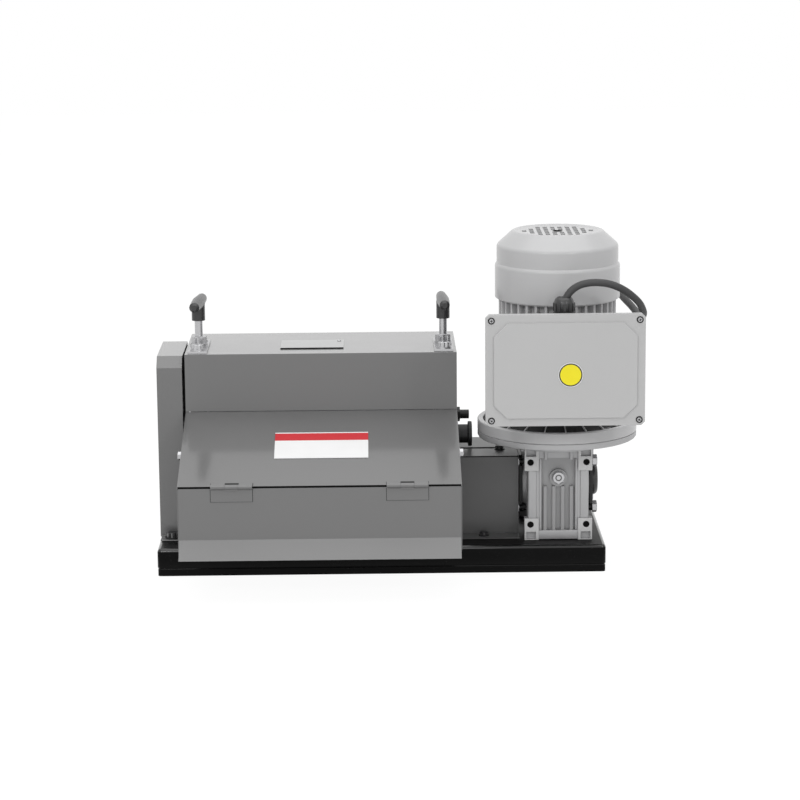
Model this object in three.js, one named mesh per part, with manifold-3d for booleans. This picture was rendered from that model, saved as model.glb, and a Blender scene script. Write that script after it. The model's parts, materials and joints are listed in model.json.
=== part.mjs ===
// Wire stripping machine, in millimetres.
// +X runs to the right along the shafts, +Y to the back and +Z up.
// The origin is the centre of the base's underside.

import * as THREE from 'three';
import { mergeVertices } from 'three/addons/utils/BufferGeometryUtils.js';
import Module from 'manifold-3d';

const wasm = await Module();
wasm.setup();

// Fits and finish
const seat = 0.3;
const running = 0.4;
const overrun = 5;
const roundSides = 20;
const boltSides = 10;
const bigSides = 36;

// Base pan of folded steel
const baseWidth = 561;
const baseDepth = 300;
const baseHeight = 35;
const baseSheet = 4;
const baseRibWidth = 24;

// Sheet metal covers
const sheet = 1.5;
const gearCaseWidth = 32;
const gearCaseGap = 3.6;
const gearCaseDepth = 117;
const gearCaseHeight = 231;
const gearCaseFold = 13;
const gearCaseFoot = 24;
const headSetout = 46;
const driveRoom = 183.8;
const coverDepth = 150;
const headHeight = 235;
const coverDrop = 73;
const platePad = 1.2;
const plateWidth = 80;
const plateDepth = 55;
const platePlaceX = 119.3;
const platePlaceY = 33;

// Side plates and what ties them
const sideThickness = 20;
const sideInset = 15.8;
const sideSetback = 4;
const sideDepth = 140;
const slotWidth = 50;
const slotFloor = 6;
const tieRadius = 6;
const tieNutRadius = 9.8;
const tieNutHeight = 12;
const tieEnd = 24;
const tieUpperBack = 88;
const tieUpperRise = 137;
const tieLowerRise = 27;
const tieFrontInset = 10;
const tieRearInset = 9;

// Worm reducer
const reducerFromEnd = 58.1;
const reducerInset = 24;
const reducerReach = 84;
const reducerBack = 60;
const reducerHeight = 60;
const wormOffset = 50;
const reducerNeck = 68.2;
const footWidth = 85;
const footPadWidth = 18;
const footPadHeight = 28;
const footPadDepth = 12;
const footHoleRadius = 4.2;
const footHoleX = 35;
const footHoleZ = 40;
const columnHalf = 38;
const panelHalf = 22;
const frameWall = 3;
const bodyHalf = 33;
const drumRadius = 54;
const barrelRadius = 31;
const cavityRadius = 46;
const cavityHalf = 20;
const wormWell = 22;
const panelSink = 9;
const ribWidth = 4;
const panelRibs = 4;
const plugBossRadius = 11;
const plugRadius = 7.5;
const plugRise = 19.5;
const plugHeight = 5;
const sideCoverHalf = 37;
const sideCoverCorner = 12;
const sideCoverThickness = 4;
const sideCoverBoltPlace = 30;
const capRadius = 21;
const capHeight = 8;
const capEdgeShare = 0.6;

// Shafts, rollers and cutters
const shaftRadius = 10;
const bearingRadius = 20;
const bearingWidth = 14;
const gearModule = 3;
const gearTeeth = 20;
const gearWidth = 14;
const gearWall = 4;
const rollerRadius = 29;
const rollerGroove = 4;
const channelCount = 10;
const rollerMargin = 5;
const bladeRadius = 30;
const bladeThickness = 2.5;
const bladeEdge = 4;
const spacerRadius = 15;
const blockDrop = 22;
const blockRise = 36;
const collarReach = 26;
const collarFlange = 16;
const collarHub = 12;
const collarDisc = 5;
const couplingRadius = 24;
const couplingLength = 50;
const couplingWaist = 19;
const couplingFromHead = 40.3;
const couplingGap = 2;
const outputRadius = 12.5;
const outputEnd = 44;
const wheelWidth = 14;
const wheelTeeth = 25;
const wheelHub = 19;
const wheelHubHalf = 17;
const wormPitchRadius = 12.5;
const wormThread = 2.4;
const wormRoot = 3.5;
const wormHalf = 22;

// Adjusting screws and their handles
const screwRadius = 5;
const screwCollar = 8;
const slotHead = 8;
const slotLip = 5;
const capBarWidth = 24;
const capBarDepth = 84;
const capBarThickness = 3;
const capBoltPlace = 32;
const lockNutRadius = 9.8;
const lockNutHeight = 12;
const handleStand = 36;
const handleHub = 8.5;
const handleHubHeight = 22;
const handleBar = 8.2;
const handleTip = 6.4;
const handleLength = 80;
const handleRound = 3;
const screwGrip = 14;
const leftHandleTurn = -4;
const rightHandleTurn = 2;

// Front guard, its flap and hinges
const guardReach = 183;
const guardFall = 55.6;
const cheekRise = 27;
const armHeight = 13;
const armRise = 130;
const armForward = 96;
const armInside = 18;
const guardBoltForward = 82;
const guardBoltGrip = 12;
const flapGap = 0.8;
const flapDrop = 63;
const lipReach = 20;
const lipDrop = 21;
const flapInset = 1.5;
const pinRadius = 1.5;
const knuckleRadius = 3;
const pinStand = 2.7;
const pinRise = 2.5;
const leafSetback = 1;
const hingeWidth = 50;
const hingeInset = 65.4;
const leafThickness = 1;
const leafLower = 15;
const leafUpper = 10;
const labelWidth = 115;
const labelDepth = 64;
const labelThickness = 0.6;
const labelPlaceX = 172;
const labelStart = 58;

// Feed plate at the back
const feedPlateThickness = 8;
const feedPlateBack = 20;
const feedPlateLow = 27;
const feedPlateHigh = 155;
const smallestFeed = 4.5;
const feedStep = 0.75;
const feedBoltLow = 47;
const feedBoltHigh = 133;
const feedBoltGrip = 9;

// Outlet bar in front of the rollers
const outletBarHeight = 12;
const outletBarDrop = 2;
const outletBarDepth = 4;
const outletBarSetback = 4;

// Coupling cover between the head and the reducer
const couplingCoverStart = 3.3;
const couplingCoverStop = 48.4;
const couplingCoverForward = 4;
const couplingCoverDepth = 112;
const couplingCoverRise = 102;
const couplingCoverMeet = 40;
const splitGap = 1.6;
const coverLap = 12;
const coverFoot = 26;

// Motor
const flangeRadius = 100;
const inputFlangeThickness = 8;
const inputFlangeBore = 14;
const flangeEdge = 1.5;
const motorFlangeHeight = 14;
const motorFlangeRim = 7;
const motorFlangeFloor = 4;
const bellRadius = 62;
const bellBore = 17;
const bellHeight = 36;
const flangeRibs = 16;
const flangeRibWidth = 2.5;
const statorRadius = 63;
const statorBore = 52;
const statorHeight = 132;
const finCount = 36;
const finReach = 10;
const finShare = 0.3;
const finTipShare = 0.7;
const padWidth = 76;
const padBottom = 48;
const padTop = 116;
const cowlRadius = 77.8;
const cowlShoulder = 75.8;
const cowlBand = 42;
const cowlShoulderHeight = 22;
const cowlDomeRadius = 54;
const cowlDomeHeight = 17;
const cowlCrown = 3;
const cowlSheet = 2;
const cowlLap = 10;
const grilleRadius = 45;
const grilleHub = 9;
const grilleSlots = 10;
const grillePitch = 9.2;
const grilleWidth = 5.4;
const rotorRadius = 48;
const rotorLow = 52;
const rotorHigh = 142;
const rotorShaftRadius = 9;
const fanHub = 15;
const fanRadius = 62;
const fanBlades = 8;
const fanBladeThickness = 3;
const fanLow = 181;
const fanHeight = 26;
const flangeBoltCircle = 82.5;

// Control box on the motor
const boxWidth = 192;
const boxHeight = 136;
const boxLift = 34;
const boxForward = 150;
const lidDepth = 12;
const boxBodyDepth = 40;
const boxWall = 3.5;
const lidProud = 8;
const boxCorner = 9;
const lidStep = 2.5;
const lidBorder = 10;
const lidChamfer = 16;
const boxScrewPlace = 7;
const boxScrewRadius = 3.6;
const boxScrewHeight = 1.6;
const stickerRadius = 15;
const stickerThickness = 0.5;
const stickerRight = 6;
const stickerBelow = 5;
const glandRadius = 13.5;
const glandHex = 12;
const glandDome = 12;
const glandStep = 1.5;
const glandFlare = 5;
const glandNeck = 6;
const motorGlandZ = 60;

// Fasteners
const boltRadius = 4;
const boltHead = 7.5;
const boltHeadHeight = 5.5;
const washerRadius = 9;
const washerThickness = 1.6;
const washerShare = 1.15;
const screwDepth = 14;
const smallBolt = 3;
const smallBoltHead = 5;
const smallBoltHeight = 4;

// Lead from the control box to the motor
const leadRadius = 4.5;
const leadSides = 10;
const leadSteps = 36;
const leadStart = 17;
const leadEnd = 12;

// Its route in shares of a span: out of the box's gland, then back from the motor's gland
const leadSpan = 100;
const leadOutShares = [
  [0, 0, 0], [0.037, 0.006, 0.081], [0.093, 0.008, 0.152], [0.175, 0.003, 0.208],
  [0.279, -0.008, 0.24], [0.409, -0.012, 0.247], [0.565, 0.007, 0.22], [0.739, 0.054, 0.135],
  [0.911, 0.176, -0.02], [0.995, 0.368, -0.178], [1.002, 0.607, -0.287], [0.996, 0.868, -0.321],
  [0.98, 1.131, -0.303],
];
const leadBackShares = [
  [0.94, -0.638, 0.561], [0.884, -0.384, 0.604], [0.835, -0.127, 0.645], [0.787, 0.131, 0.672],
  [0.71, 0.383, 0.666], [0.586, 0.605, 0.602], [0.412, 0.748, 0.469], [0.222, 0.753, 0.291],
  [0.078, 0.612, 0.128], [0.01, 0.378, 0.031], [0, 0.116, 0.001], [0, 0, 0],
];

// Places that follow from the sizes above
const shaftY = reducerInset + reducerReach;
const headFront = shaftY - headSetout;
const reducerX = baseWidth / 2 - reducerFromEnd;
const coverTop = baseHeight + headHeight;
const wormY = shaftY - wormOffset;
const feedZ = baseHeight + seat + reducerHeight;
const cutterZ = feedZ + gearModule * gearTeeth;
const headLeft = -baseWidth / 2 + gearCaseWidth + gearCaseGap;
const headRight = baseWidth / 2 - driveRoom;
const leftSideX = headLeft + sideInset;
const rightSideX = headRight - sideInset;
const sideFront = headFront + sideSetback;
const sideBack = sideFront + sideDepth;
const sideBottom = baseHeight + seat;
const sideTop = coverTop - sheet - seat;
const coverBottom = coverTop - coverDrop;
const slotBottom = feedZ + bearingRadius + slotFloor;
const blockTop = cutterZ + blockRise;
const flangeZ = feedZ + reducerNeck + seat;
const motorZ = flangeZ + inputFlangeThickness + seat;
const gearCaseLeft = -baseWidth / 2;
const gearX = gearCaseLeft + sheet + gearWall;
const guardFront = headFront - guardReach;
const guardRearZ = coverBottom - seat;
const guardFrontZ = guardRearZ - guardFall;
const cheekBottom = baseHeight + cheekRise;
const armTop = baseHeight + armRise;
const guardBoltPlace = [headFront - guardBoltForward, armTop - armHeight / 2];
const cowlStart = bellHeight + statorHeight + 2 * seat;
const boxFront = wormY - boxForward;
const boxBottom = motorZ + boxLift;
const handleFoot = coverTop + handleStand;
const couplingCentre = headRight + couplingFromHead;
const guardSlope = Math.atan2(guardFall, guardReach);
const sides = [['left', leftSideX], ['right', rightSideX]];

function span(centre, width) {
  return [centre - width / 2, centre + width / 2];
}

function signedVolume(points, triangles) {
  const a = new THREE.Vector3();
  const b = new THREE.Vector3();
  const c = new THREE.Vector3();
  let total = 0;
  for (const [i, j, k] of triangles) {
    a.fromArray(points, i * 3);
    b.fromArray(points, j * 3);
    c.fromArray(points, k * 3);
    total += a.dot(b.cross(c));
  }
  return total;
}

// A closed geometry as a solid, its faces turned outwards
function toSolid(geometry) {
  const bare = geometry.clone();
  bare.deleteAttribute('normal');
  bare.deleteAttribute('uv');
  const merged = mergeVertices(bare);
  const points = Array.from(merged.attributes.position.array);
  const index = merged.index.array;
  let triangles = [];
  for (let i = 0; i < index.length; i += 3) {
    triangles.push([index[i], index[i + 1], index[i + 2]]);
  }
  triangles = triangles.filter(([i, j, k]) => i !== j && j !== k && k !== i);
  if (signedVolume(points, triangles) < 0) {
    triangles = triangles.map(([i, j, k]) => [i, k, j]);
  }
  const vertProperties = new Float32Array(points);
  const triVerts = new Uint32Array(triangles.flat());
  return new wasm.Manifold(new wasm.Mesh({ numProp: 3, vertProperties, triVerts }));
}

function toGeometry(solid) {
  const mesh = solid.getMesh();
  const geometry = new THREE.BufferGeometry();
  geometry.setAttribute('position', new THREE.BufferAttribute(mesh.vertProperties, 3));
  geometry.setIndex(new THREE.BufferAttribute(mesh.triVerts, 1));
  const flat = geometry.toNonIndexed();
  flat.computeVertexNormals();
  return flat;
}

function join(...solids) {
  return solids.flat().reduce((sum, solid) => sum.add(solid));
}

function cut(solid, ...tools) {
  return tools.flat().reduce((rest, tool) => rest.subtract(tool), solid);
}

// A rectangular block between three pairs of limits
function block([x0, x1], [y0, y1], [z0, z1]) {
  const geometry = new THREE.BoxGeometry(x1 - x0, y1 - y0, z1 - z0);
  geometry.translate((x0 + x1) / 2, (y0 + y1) / 2, (z0 + z1) / 2);
  return toSolid(geometry);
}

function alongAxis(geometry, axis, [a, b]) {
  if (axis === 'x') {
    geometry.rotateZ(-Math.PI / 2);
    geometry.translate(0, a, b);
  }
  if (axis === 'y') {
    geometry.translate(a, 0, b);
  }
  if (axis === 'z') {
    geometry.rotateX(Math.PI / 2);
    geometry.translate(a, b, 0);
  }
  return geometry;
}

// A round rod along an axis, between two places on it
function rod(axis, radius, [from, to], centre, sides = roundSides) {
  const geometry = new THREE.CylinderGeometry(radius, radius, to - from, sides);
  geometry.translate(0, (from + to) / 2, 0);
  return toSolid(alongAxis(geometry, axis, centre));
}

// A profile of [radius, place] points turned about an axis
function turned(axis, profile, centre, sides = roundSides) {
  const points = profile.map(([radius, place]) => new THREE.Vector2(radius, place));
  const geometry = new THREE.LatheGeometry(points, sides);
  return toSolid(alongAxis(geometry, axis, centre));
}

function shapeOf(outline, holes = []) {
  const shape = new THREE.Shape(outline.map(([a, b]) => new THREE.Vector2(a, b)));
  shape.holes = holes.map((hole) => new THREE.Path(hole.map(([a, b]) => new THREE.Vector2(a, b))));
  return shape;
}

const axisFrames = {
  x: [new THREE.Vector3(0, 1, 0), new THREE.Vector3(0, 0, 1), new THREE.Vector3(1, 0, 0)],
  y: [new THREE.Vector3(1, 0, 0), new THREE.Vector3(0, 0, 1), new THREE.Vector3(0, 1, 0)],
  z: [new THREE.Vector3(1, 0, 0), new THREE.Vector3(0, 1, 0), new THREE.Vector3(0, 0, 1)],
};

// An outline in the plane across an axis, drawn out between two places on it
function drawn(axis, outline, [from, to], holes) {
  const options = { depth: to - from, bevelEnabled: false, steps: 1 };
  const geometry = new THREE.ExtrudeGeometry(shapeOf(outline, holes), options);
  geometry.translate(0, 0, from);
  geometry.applyMatrix4(new THREE.Matrix4().makeBasis(...axisFrames[axis]));
  return toSolid(geometry);
}

function circle(radius, sides, [a, b] = [0, 0]) {
  const points = [];
  for (let i = 0; i < sides; i += 1) {
    const angle = (2 * Math.PI * i) / sides;
    points.push([a + radius * Math.cos(angle), b + radius * Math.sin(angle)]);
  }
  return points;
}

// A rectangle whose corners are cut off by a chamfer
function cornered([a0, a1], [b0, b1], corner) {
  return [
    [a0 + corner, b0], [a1 - corner, b0], [a1, b0 + corner], [a1, b1 - corner],
    [a1 - corner, b1], [a0 + corner, b1], [a0, b1 - corner], [a0, b0 + corner],
  ];
}

// A hex head with its washer and shank, pointing the way the head stands
function hexBolt(axis, side, face, centre, { shank, head, height, depth, washer }) {
  const out = (distance) => face + side * distance;
  const order = (a, b) => (a < b ? [a, b] : [b, a]);
  const parts = [
    rod(axis, head, order(out(washer), out(washer + height)), centre, 6),
    rod(axis, shank, order(out(-depth), out(washer)), centre, boltSides),
  ];
  if (washer > 0) {
    parts.push(rod(axis, head * washerShare, order(out(0), out(washer)), centre, boltSides));
  }
  return join(parts);
}

const mediumBolt = {
  shank: boltRadius,
  head: boltHead,
  height: boltHeadHeight,
  depth: screwDepth,
  washer: washerThickness,
};
const slimBolt = {
  shank: smallBolt,
  head: smallBoltHead,
  height: smallBoltHeight,
  depth: 0,
  washer: 0,
};

function boltHole(axis, face, reach, centre, radius = boltRadius) {
  return rod(axis, radius + running, span(face, 2 * reach), centre, boltSides);
}

function finish(name, color, roughness, metalness) {
  return new THREE.MeshStandardMaterial({ name, color, roughness, metalness });
}

const machine = new THREE.Group();
machine.position.y = -baseDepth / 2;

function add(name, solid, material, group = machine) {
  const mesh = new THREE.Mesh(toGeometry(solid), material.clone());
  mesh.name = name;
  group.add(mesh);
  return mesh;
}

const blackPaint = finish('black_paint', 0x101010, 0.35, 0.2);
const greyPaint = finish('grey_paint', 0x7d7d7d, 0.5, 0.1);
const lightPaint = finish('light_paint', 0xbdbdbd, 0.45, 0.1);
const castAlloy = finish('cast_alloy', 0xa9a9a9, 0.55, 0.6);
const steel = finish('steel', 0x8a8a8a, 0.35, 0.9);
const zinc = finish('zinc', 0xd0d0d0, 0.3, 0.9);
const blackOxide = finish('black_oxide', 0x161616, 0.5, 0.5);
const blackPlastic = finish('black_plastic', 0x2a2a2a, 0.6, 0);
const boxPlastic = finish('box_plastic', 0xb9b9b9, 0.5, 0);
const brass = finish('brass', 0xb08d3c, 0.35, 0.9);
const whiteVinyl = finish('white_vinyl', 0xf5f5f5, 0.4, 0);
const yellowVinyl = finish('yellow_vinyl', 0xf2e205, 0.4, 0);

// Base: a folded pan, open below, with a rib across its middle
function makeBase() {
  const halfWidth = baseWidth / 2;
  const outside = block([-halfWidth, halfWidth], [0, baseDepth], [0, baseHeight]);
  const insideY = [baseSheet, baseDepth - baseSheet];
  const insideZ = [-overrun, baseHeight - baseSheet];
  const left = block([-halfWidth + baseSheet, -baseRibWidth / 2], insideY, insideZ);
  const right = block([baseRibWidth / 2, halfWidth - baseSheet], insideY, insideZ);
  add('base_pan', cut(outside, left, right), blackPaint);
}

const tiePlaces = [
  [headFront + tieUpperBack, baseHeight + tieUpperRise],
  [sideFront + tieFrontInset, baseHeight + tieLowerRise],
  [sideBack - tieRearInset, baseHeight + tieLowerRise],
];
const feedPlateY = sideBack - feedPlateBack;
const feedBoltPlaces = [feedBoltLow, feedBoltHigh].map((z) => [feedPlateY, baseHeight + z]);
const capBoltYs = [shaftY - capBoltPlace, shaftY + capBoltPlace];

// Side plate: bored for the feed shaft, slotted for the block of the cutter shaft
function makeSidePlate(name, x) {
  const across = span(x, sideThickness);
  const through = span(x, sideThickness + 2 * overrun);
  const plate = block(across, [sideFront, sideBack], [sideBottom, sideTop]);
  const slot = block(through, span(shaftY, slotWidth), [slotBottom, sideTop + overrun]);
  const bore = rod('x', bearingRadius + seat, through, [shaftY, feedZ]);
  const ties = tiePlaces.map((place) => rod('x', tieRadius + running, through, place, boltSides));
  const caps = capBoltYs.map((y) => boltHole('z', sideTop, screwDepth, [x, y]));
  const feed = feedBoltPlaces.map((place) => rod('x', smallBolt + running, through, place, boltSides));
  add(name, cut(plate, slot, bore, ties, caps, feed), greyPaint);
}

// Tie rods: flush on the left, with a nut and a free end on the right
function makeTieRods() {
  const leftFace = leftSideX - sideThickness / 2;
  const rightFace = rightSideX + sideThickness / 2;
  const nutSpan = [rightFace + seat, rightFace + seat + tieNutHeight];
  ['upper', 'front', 'rear'].forEach((name, i) => {
    const bar = rod('x', tieRadius, [leftFace, rightFace + tieEnd], tiePlaces[i], boltSides);
    const nut = rod('x', tieNutRadius, nutSpan, tiePlaces[i], 6);
    add(`${name}_tie_rod`, join(bar, nut), blackOxide);
  });
}

// Feed plate at the back, with a guide hole of its own size for each channel,
// and the bolts that hold it through the side plates
const rollerSpan = [
  leftSideX + sideThickness / 2 + rollerMargin,
  rightSideX - sideThickness / 2 - rollerMargin,
];
const channelPitch = (rollerSpan[1] - rollerSpan[0]) / channelCount;
const nipZ = feedZ + rollerRadius;

function channelX(index) {
  return rollerSpan[0] + channelPitch * (index + 0.5);
}

function makeFeedPlate() {
  const insideX = [
    leftSideX + sideThickness / 2 + seat,
    rightSideX - sideThickness / 2 - seat,
  ];
  const thick = span(feedPlateY, feedPlateThickness);
  let plate = block(insideX, thick, [baseHeight + feedPlateLow, baseHeight + feedPlateHigh]);
  for (let i = 0; i < channelCount; i += 1) {
    const radius = smallestFeed + feedStep * i;
    const through = span(feedPlateY, feedPlateThickness + 2 * overrun);
    plate = cut(plate, rod('y', radius, through, [channelX(i), nipZ], 16));
  }
  add('feed_plate', join(plate, feedPlateBolts()), steel);
}

function feedPlateBolts() {
  const long = { ...slimBolt, depth: sideThickness + feedBoltGrip };
  const leftFace = leftSideX - sideThickness / 2 - seat;
  const rightFace = rightSideX + sideThickness / 2 + seat;
  return feedBoltPlaces.flatMap((place) => [
    hexBolt('x', -1, leftFace, place, long),
    hexBolt('x', 1, rightFace, place, long),
  ]);
}

// Outlet bar in front of the rollers, which the stripped cable slides over
function makeOutletBar() {
  const insideX = [
    leftSideX + sideThickness / 2 + seat,
    rightSideX - sideThickness / 2 - seat,
  ];
  const back = shaftY - bladeRadius - outletBarSetback;
  const top = nipZ - outletBarDrop;
  const bar = block(insideX, [back - outletBarDepth, back], [top - outletBarHeight, top]);
  add('outlet_bar', bar, steel);
}

// Bearings of the feed shaft, which stay put in the side plates
function ring(axis, outer, inner, [from, to], centre) {
  return turned(axis, [[inner, from], [outer, from], [outer, to], [inner, to], [inner, from]], centre);
}

function makeFixedBearings() {
  const inner = shaftRadius + running;
  for (const [side, x] of sides) {
    const bearing = ring('x', bearingRadius, inner, span(x, bearingWidth), [shaftY, feedZ]);
    add(`${side}_feed_bearing`, bearing, steel);
  }
}

// Cap bars on top of the cover, one over each side plate, with their bolts
// and the nut that each adjusting screw passes through
function makeCapBars() {
  const bottom = coverTop + seat;
  const face = bottom + capBarThickness;
  const depth = face - sideTop + overrun;
  for (const [side, x] of sides) {
    const bar = block(span(x, capBarWidth), span(shaftY, capBarDepth), [bottom, face]);
    const nut = rod('z', lockNutRadius, [face - seat, face + lockNutHeight], [x, shaftY], 6);
    const middle = boltHole('z', face, screwDepth, [x, shaftY], screwRadius);
    const bolts = capBoltYs.map((y) => hexBolt('z', 1, face, [x, y], { ...mediumBolt, depth }));
    add(`${side}_cap_bar`, join(cut(join(bar, nut), middle), bolts), zinc);
  }
}

// Head cover: a sheet box, open below
function makeHeadCover() {
  const yBack = headFront + coverDepth;
  const shell = block([headLeft, headRight], [headFront, yBack], [coverBottom, coverTop]);
  const insideX = [headLeft + sheet, headRight - sheet];
  const insideY = [headFront + sheet, yBack - sheet];
  const inside = block(insideX, insideY, [coverBottom - overrun, coverTop - sheet]);
  const holes = [leftSideX, rightSideX].flatMap((x) => [
    boltHole('z', coverTop, screwDepth, [x, shaftY], screwRadius),
    ...capBoltYs.map((y) => boltHole('z', coverTop, screwDepth, [x, y])),
  ]);
  add('head_cover', cut(shell, inside, holes), greyPaint);
}

function makeCoverPlate() {
  const across = [headLeft + platePlaceX, headLeft + platePlaceX + plateWidth];
  const along = [headFront + platePlaceY, headFront + platePlaceY + plateDepth];
  const bottom = coverTop + seat;
  add('cover_plate', block(across, along, [bottom, bottom + platePad]), lightPaint);
}

// Gear case on the left: a folded sheet box, open towards the side plate
function caseOutline(inset) {
  const front = headFront + inset;
  const back = headFront + gearCaseDepth - inset;
  const top = sideBottom + gearCaseHeight - inset;
  const bottom = inset > 0 ? sideBottom - overrun : sideBottom;
  return [
    [front, bottom], [back, bottom], [back, top],
    [front + gearCaseFold, top], [front, top - gearCaseFold],
  ];
}

function makeGearCase() {
  const outsideX = [gearCaseLeft, gearCaseLeft + gearCaseWidth];
  const insideX = [gearCaseLeft + sheet, gearCaseLeft + gearCaseWidth + overrun];
  const shell = cut(drawn('x', caseOutline(0), outsideX), drawn('x', caseOutline(sheet), insideX));
  const feet = gearCaseFeet().map(([y0, y1]) =>
    block([gearCaseLeft + sheet, outsideX[1]], [y0, y1], [sideBottom, sideBottom + sheet]));
  add('gear_case', join(shell, feet, gearCaseBolts()), greyPaint);
}

function gearCaseFeet() {
  const back = headFront + gearCaseDepth;
  return [[headFront - gearCaseFoot, headFront + sheet], [back - sheet, back + gearCaseFoot]];
}

function gearCaseBoltPlaces() {
  const x = gearCaseLeft + gearCaseWidth / 2;
  const back = headFront + gearCaseDepth;
  return [[x, headFront - gearCaseFoot / 2], [x, back + gearCaseFoot / 2]];
}

function gearCaseBolts() {
  const face = sideBottom + sheet;
  const short = { ...mediumBolt, depth: sheet / 2 };
  return gearCaseBoltPlaces().map((place) => hexBolt('z', 1, face, place, short));
}

// Front guard: a sloping sheet with a cheek at each end, and the fixed halves of the hinges
function slopeZ(y) {
  return guardRearZ - ((headFront - y) * guardFall) / guardReach;
}

function makeFrontGuard() {
  const drop = sheet / Math.cos(guardSlope);
  const front = guardFront;
  const rear = headFront;
  const slope = [
    [front, slopeZ(front)], [rear, slopeZ(rear)],
    [rear, slopeZ(rear) - drop], [front, slopeZ(front) - drop],
  ];
  const cheek = [[front, cheekBottom], [rear, cheekBottom], [rear, slopeZ(rear)], [front, slopeZ(front)]];
  const parts = [
    drawn('x', slope, [headLeft, headRight]),
    drawn('x', cheek, [headLeft, headLeft + sheet]),
    drawn('x', cheek, [headRight - sheet, headRight]),
  ];
  const holes = [headLeft, headRight].map((x) =>
    rod('x', smallBolt + running, span(x, 4 * sheet), guardBoltPlace, boltSides));
  add('front_guard', join(cut(join(parts), holes), upperLeaves(), hingePins()), greyPaint);
}

// Arms that carry the guard, fixed to the outside of the side plates, with the guard's bolts
const armSpans = [
  [headLeft + sheet + seat, leftSideX - sideThickness / 2 - seat],
  [rightSideX + sideThickness / 2 + seat, headRight - sheet - seat],
];

function makeGuardArms() {
  const long = { ...slimBolt, depth: guardBoltGrip };
  const bolts = [
    hexBolt('x', -1, headLeft - seat, guardBoltPlace, long),
    hexBolt('x', 1, headRight + seat, guardBoltPlace, long),
  ];
  sides.forEach(([side], i) => {
    const along = [headFront - armForward, headFront + armInside];
    const bar = block(armSpans[i], along, [armTop - armHeight, armTop]);
    add(`${side}_guard_arm`, join(bar, bolts[i]), steel);
  });
}

// Label plate on the guard's slope, blank
function makeGuardLabel() {
  const holder = new THREE.Group();
  holder.position.set(0, headFront, guardRearZ + seat);
  holder.rotation.x = guardSlope;
  machine.add(holder);
  const x = headLeft + labelPlaceX;
  const plate = block(span(x, labelWidth), [-labelStart - labelDepth, -labelStart], [0, labelThickness]);
  add('guard_label', plate, whiteVinyl, holder);
}

// Flap and its two hinges, drawn about the hinge pin
const flapOuterY = guardFront - flapGap - sheet;
const flapTopZ = guardFrontZ - seat;
const hingeY = flapOuterY - pinStand;
const hingeZ = flapTopZ + pinRise;
const hingeXs = [headLeft + hingeInset, headRight - hingeInset];

function makeFlap() {
  const outer = flapOuterY;
  const inner = outer + sheet;
  const top = flapTopZ;
  const bend = top - flapDrop;
  const lip = bend - lipDrop;
  const outline = [
    [outer, top], [outer, bend], [outer - lipReach, lip],
    [inner - lipReach, lip], [inner, bend], [inner, top],
  ];
  const panel = drawn('x', outline, [headLeft + flapInset, headRight - flapInset]);
  add('guard_flap', join(panel, lowerLeaves()), greyPaint);
}

const knuckleEdge = hingeWidth / 6;
const outerKnuckles = [[-hingeWidth / 2, -knuckleEdge], [knuckleEdge, hingeWidth / 2]];

// Lower leaves on the flap's face, each with the hinge's middle knuckle
function lowerLeaves() {
  const front = flapOuterY - leafThickness;
  const back = flapOuterY + sheet / 2;
  const top = flapTopZ - leafSetback;
  return hingeXs.map((x) => {
    const hole = rod('x', pinRadius + running, span(x, hingeWidth), [hingeY, hingeZ], boltSides);
    const leaf = block(span(x, hingeWidth), [front, back], [top - leafLower, top]);
    const along = [x - knuckleEdge + seat, x + knuckleEdge - seat];
    const neck = block(along, [hingeY, back], [top - sheet, flapTopZ]);
    const knuckle = rod('x', knuckleRadius, along, [hingeY, hingeZ], boltSides);
    return cut(join(leaf, neck, knuckle), hole);
  });
}

// Upper leaves on the guard's slope, each with the hinge's two outer knuckles
function upperLeaves() {
  const end = guardFront + leafUpper;
  const outline = [
    [hingeY, guardFrontZ], [guardFront, guardFrontZ],
    [guardFront + sheet, slopeZ(guardFront) - sheet / 2],
    [end, slopeZ(end) - sheet / 2], [end, slopeZ(end) + leafThickness],
    [guardFront, guardFrontZ + leafThickness], [hingeY, guardFrontZ + leafThickness],
  ];
  return hingeXs.flatMap((x) => outerKnuckles.flatMap((along) => {
    const place = along.map((a) => x + a);
    return [
      drawn('x', outline, place),
      rod('x', knuckleRadius, place, [hingeY, hingeZ], boltSides),
    ];
  }));
}

function hingePins() {
  return hingeXs.map((x) => rod('x', pinRadius, span(x, hingeWidth), [hingeY, hingeZ], boltSides));
}

// Coupling cover: a front and a rear sheet that meet on top
const couplingCoverLeft = headRight + couplingCoverStart;
const couplingCoverRight = reducerX - couplingCoverStop;
const couplingCoverFront = headFront - couplingCoverForward;
const couplingCoverBack = couplingCoverFront + couplingCoverDepth;
const couplingCoverTop = baseHeight + couplingCoverRise;
const couplingCoverSplit = headFront + couplingCoverMeet;
const couplingBoltShares = { foot: 0.4, top: 0.7 };

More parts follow.
